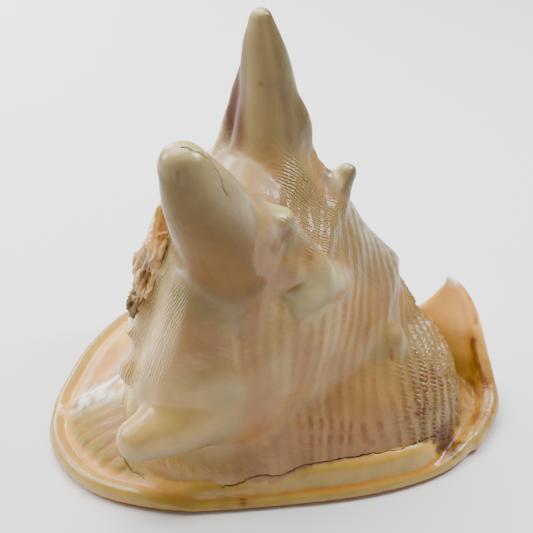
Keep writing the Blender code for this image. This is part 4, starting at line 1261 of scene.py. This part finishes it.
def placed(name, data, place, back):
    """a camera or a light in the scene, with its back turned that way"""
    thing = bpy.data.objects.new(name, data)
    bpy.context.scene.collection.objects.link(thing)
    thing.location = place
    thing.rotation_euler = Vector(back).to_track_quat("Z", "Y").to_euler()
    return thing


def make_camera():
    camera = bpy.data.cameras.new("camera")
    camera.lens, camera.sensor_width = VIEW_LENS, SENSOR_WIDTH
    back = Vector((0, -math.cos(VIEW_HEIGHT), math.sin(VIEW_HEIGHT)))
    place = (Vector(VIEW_TARGET) - CENTRE + back * VIEW_DISTANCE) * MM
    bpy.context.scene.camera = placed("camera", camera, place, back)


def make_lamps():
    for name, (place, width, target, power, colour) in LAMPS.items():
        lamp = bpy.data.lights.new(name, "AREA")
        lamp.shape, lamp.size, lamp.energy, lamp.color = "DISK", width, power, colour
        placed(name, lamp, place, Vector(place) - Vector(target))


def make_canal_spot():
    """a narrow soft beam on the canal's thin edge, which daylight shines through"""
    spot = bpy.data.lights.new("canal_spot", "SPOT")
    spot.energy, spot.spot_size, spot.spot_blend, spot.shadow_soft_size = 13, math.radians(4.6), 1.0, 0.02
    place, target = Vector((0.05, -0.75, 0.5)), Vector((0.093, 0.012, 0.046))
    placed("canal_spot", spot, place, place - target)


def make_floor():
    """a wide level ground, 12 metres across"""
    bm = bmesh.new()
    bmesh.ops.create_grid(bm, x_segments=1, y_segments=1, size=6)
    floor = to_object("floor", bm)
    floor.data.materials.append(floor_material())


def make_world():
    """pale even light from all round"""
    world = bpy.data.worlds.new("studio")
    world.use_nodes = True
    shade = world.node_tree.nodes["Background"].inputs
    shade["Color"].default_value = (0.85, 0.85, 0.84, 1)
    shade["Strength"].default_value = 0.25
    bpy.context.scene.world = world


def settle_piece(thing, material):
    """smooth shading, the part's own origin, its material and its body"""
    mesh = thing.data
    for face in mesh.polygons:
        face.use_smooth = True
    mesh.transform(Matrix.Translation(-CENTRE * MM))
    mesh.materials.clear()
    mesh.materials.append(material)
    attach(thing, "root")


def shape_skin(shell, trees):
    """gives the skin its relief, thins its net, cuts it level and opens its cracks"""
    at = Places(shell.data, trees)
    push_out(shell.data, at, relief(at))
    count = sum(len(face.vertices) - 2 for face in shell.data.polygons)
    modify(shell, "DECIMATE", ratio=SKIN_TRIANGLES / count)
    settled(shell)
    cut_away(shell, ground_box(0))
    refine(shell.data, list(CRACKS.values()), 1.6, 3)
    refine(shell.data, [points for points, *_ in MARKS] + [[place[:3]] for place in DOTS], 2.2, 1)
    at = Places(shell.data, trees)
    across, by_crack = crack_place(at)
    push_out(shell.data, at, -CRACK_DEPTH * by_crack * (1 - smooth(0.1, 0.55, np.abs(across))))
    return at, across, by_crack


def finish_skin(shell, trees):
    """the shell's relief, colours and patterns, as attributes that its material reads"""
    at, across, by_crack = shape_skin(shell, trees)
    mesh, crisp_body = shell.data, at.body * at.crisp
    keep(mesh, "split", across, by_crack, ridges_of(at))
    keep(mesh, "tone", paint_skin(at))
    keep(mesh, "course", at.cord, at.growth, at.slope)
    ribs = crisp_body * np.clip(0.06 + 0.75 * at.upper, 0, 1) * (1 - 0.6 * flank_of(at)) * (1 - at.ramp)
    threads = crisp_body * (0.04 + 0.3 * at.upper) * (1 - at.ramp)
    keep(mesh, "wear", ribs, threads, gloss_of(at))
    stripes = crisp_body * smooth(84, 98, at.arc) * smooth(85, 60, at.angle) * 0.34
    dashes = at.body * sum(stroke(at, points, width, 0.3) * strength for points, width, strength in DASH_ROWS)
    dots = at.body * round_patch(at.p, (78, -29, 40), 22, 0.5)
    keep(mesh, "print", stripes, dashes, dots)
    settle_piece(shell, shell_material())
    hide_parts("helmet_shell")


skin, skin_trees = make_skin()
crust, flake = make_crust(), make_flake()
finish_skin(skin, skin_trees)
dull = crust_material()
for piece, tones in ((crust, paint_crust(crust.data)), (flake, paint_flake(flake.data))):
    keep(piece.data, "tone", tones)
    settle_piece(piece, dull)
for make in (make_camera, make_floor, make_world, make_lamps, make_canal_spot):
    make()
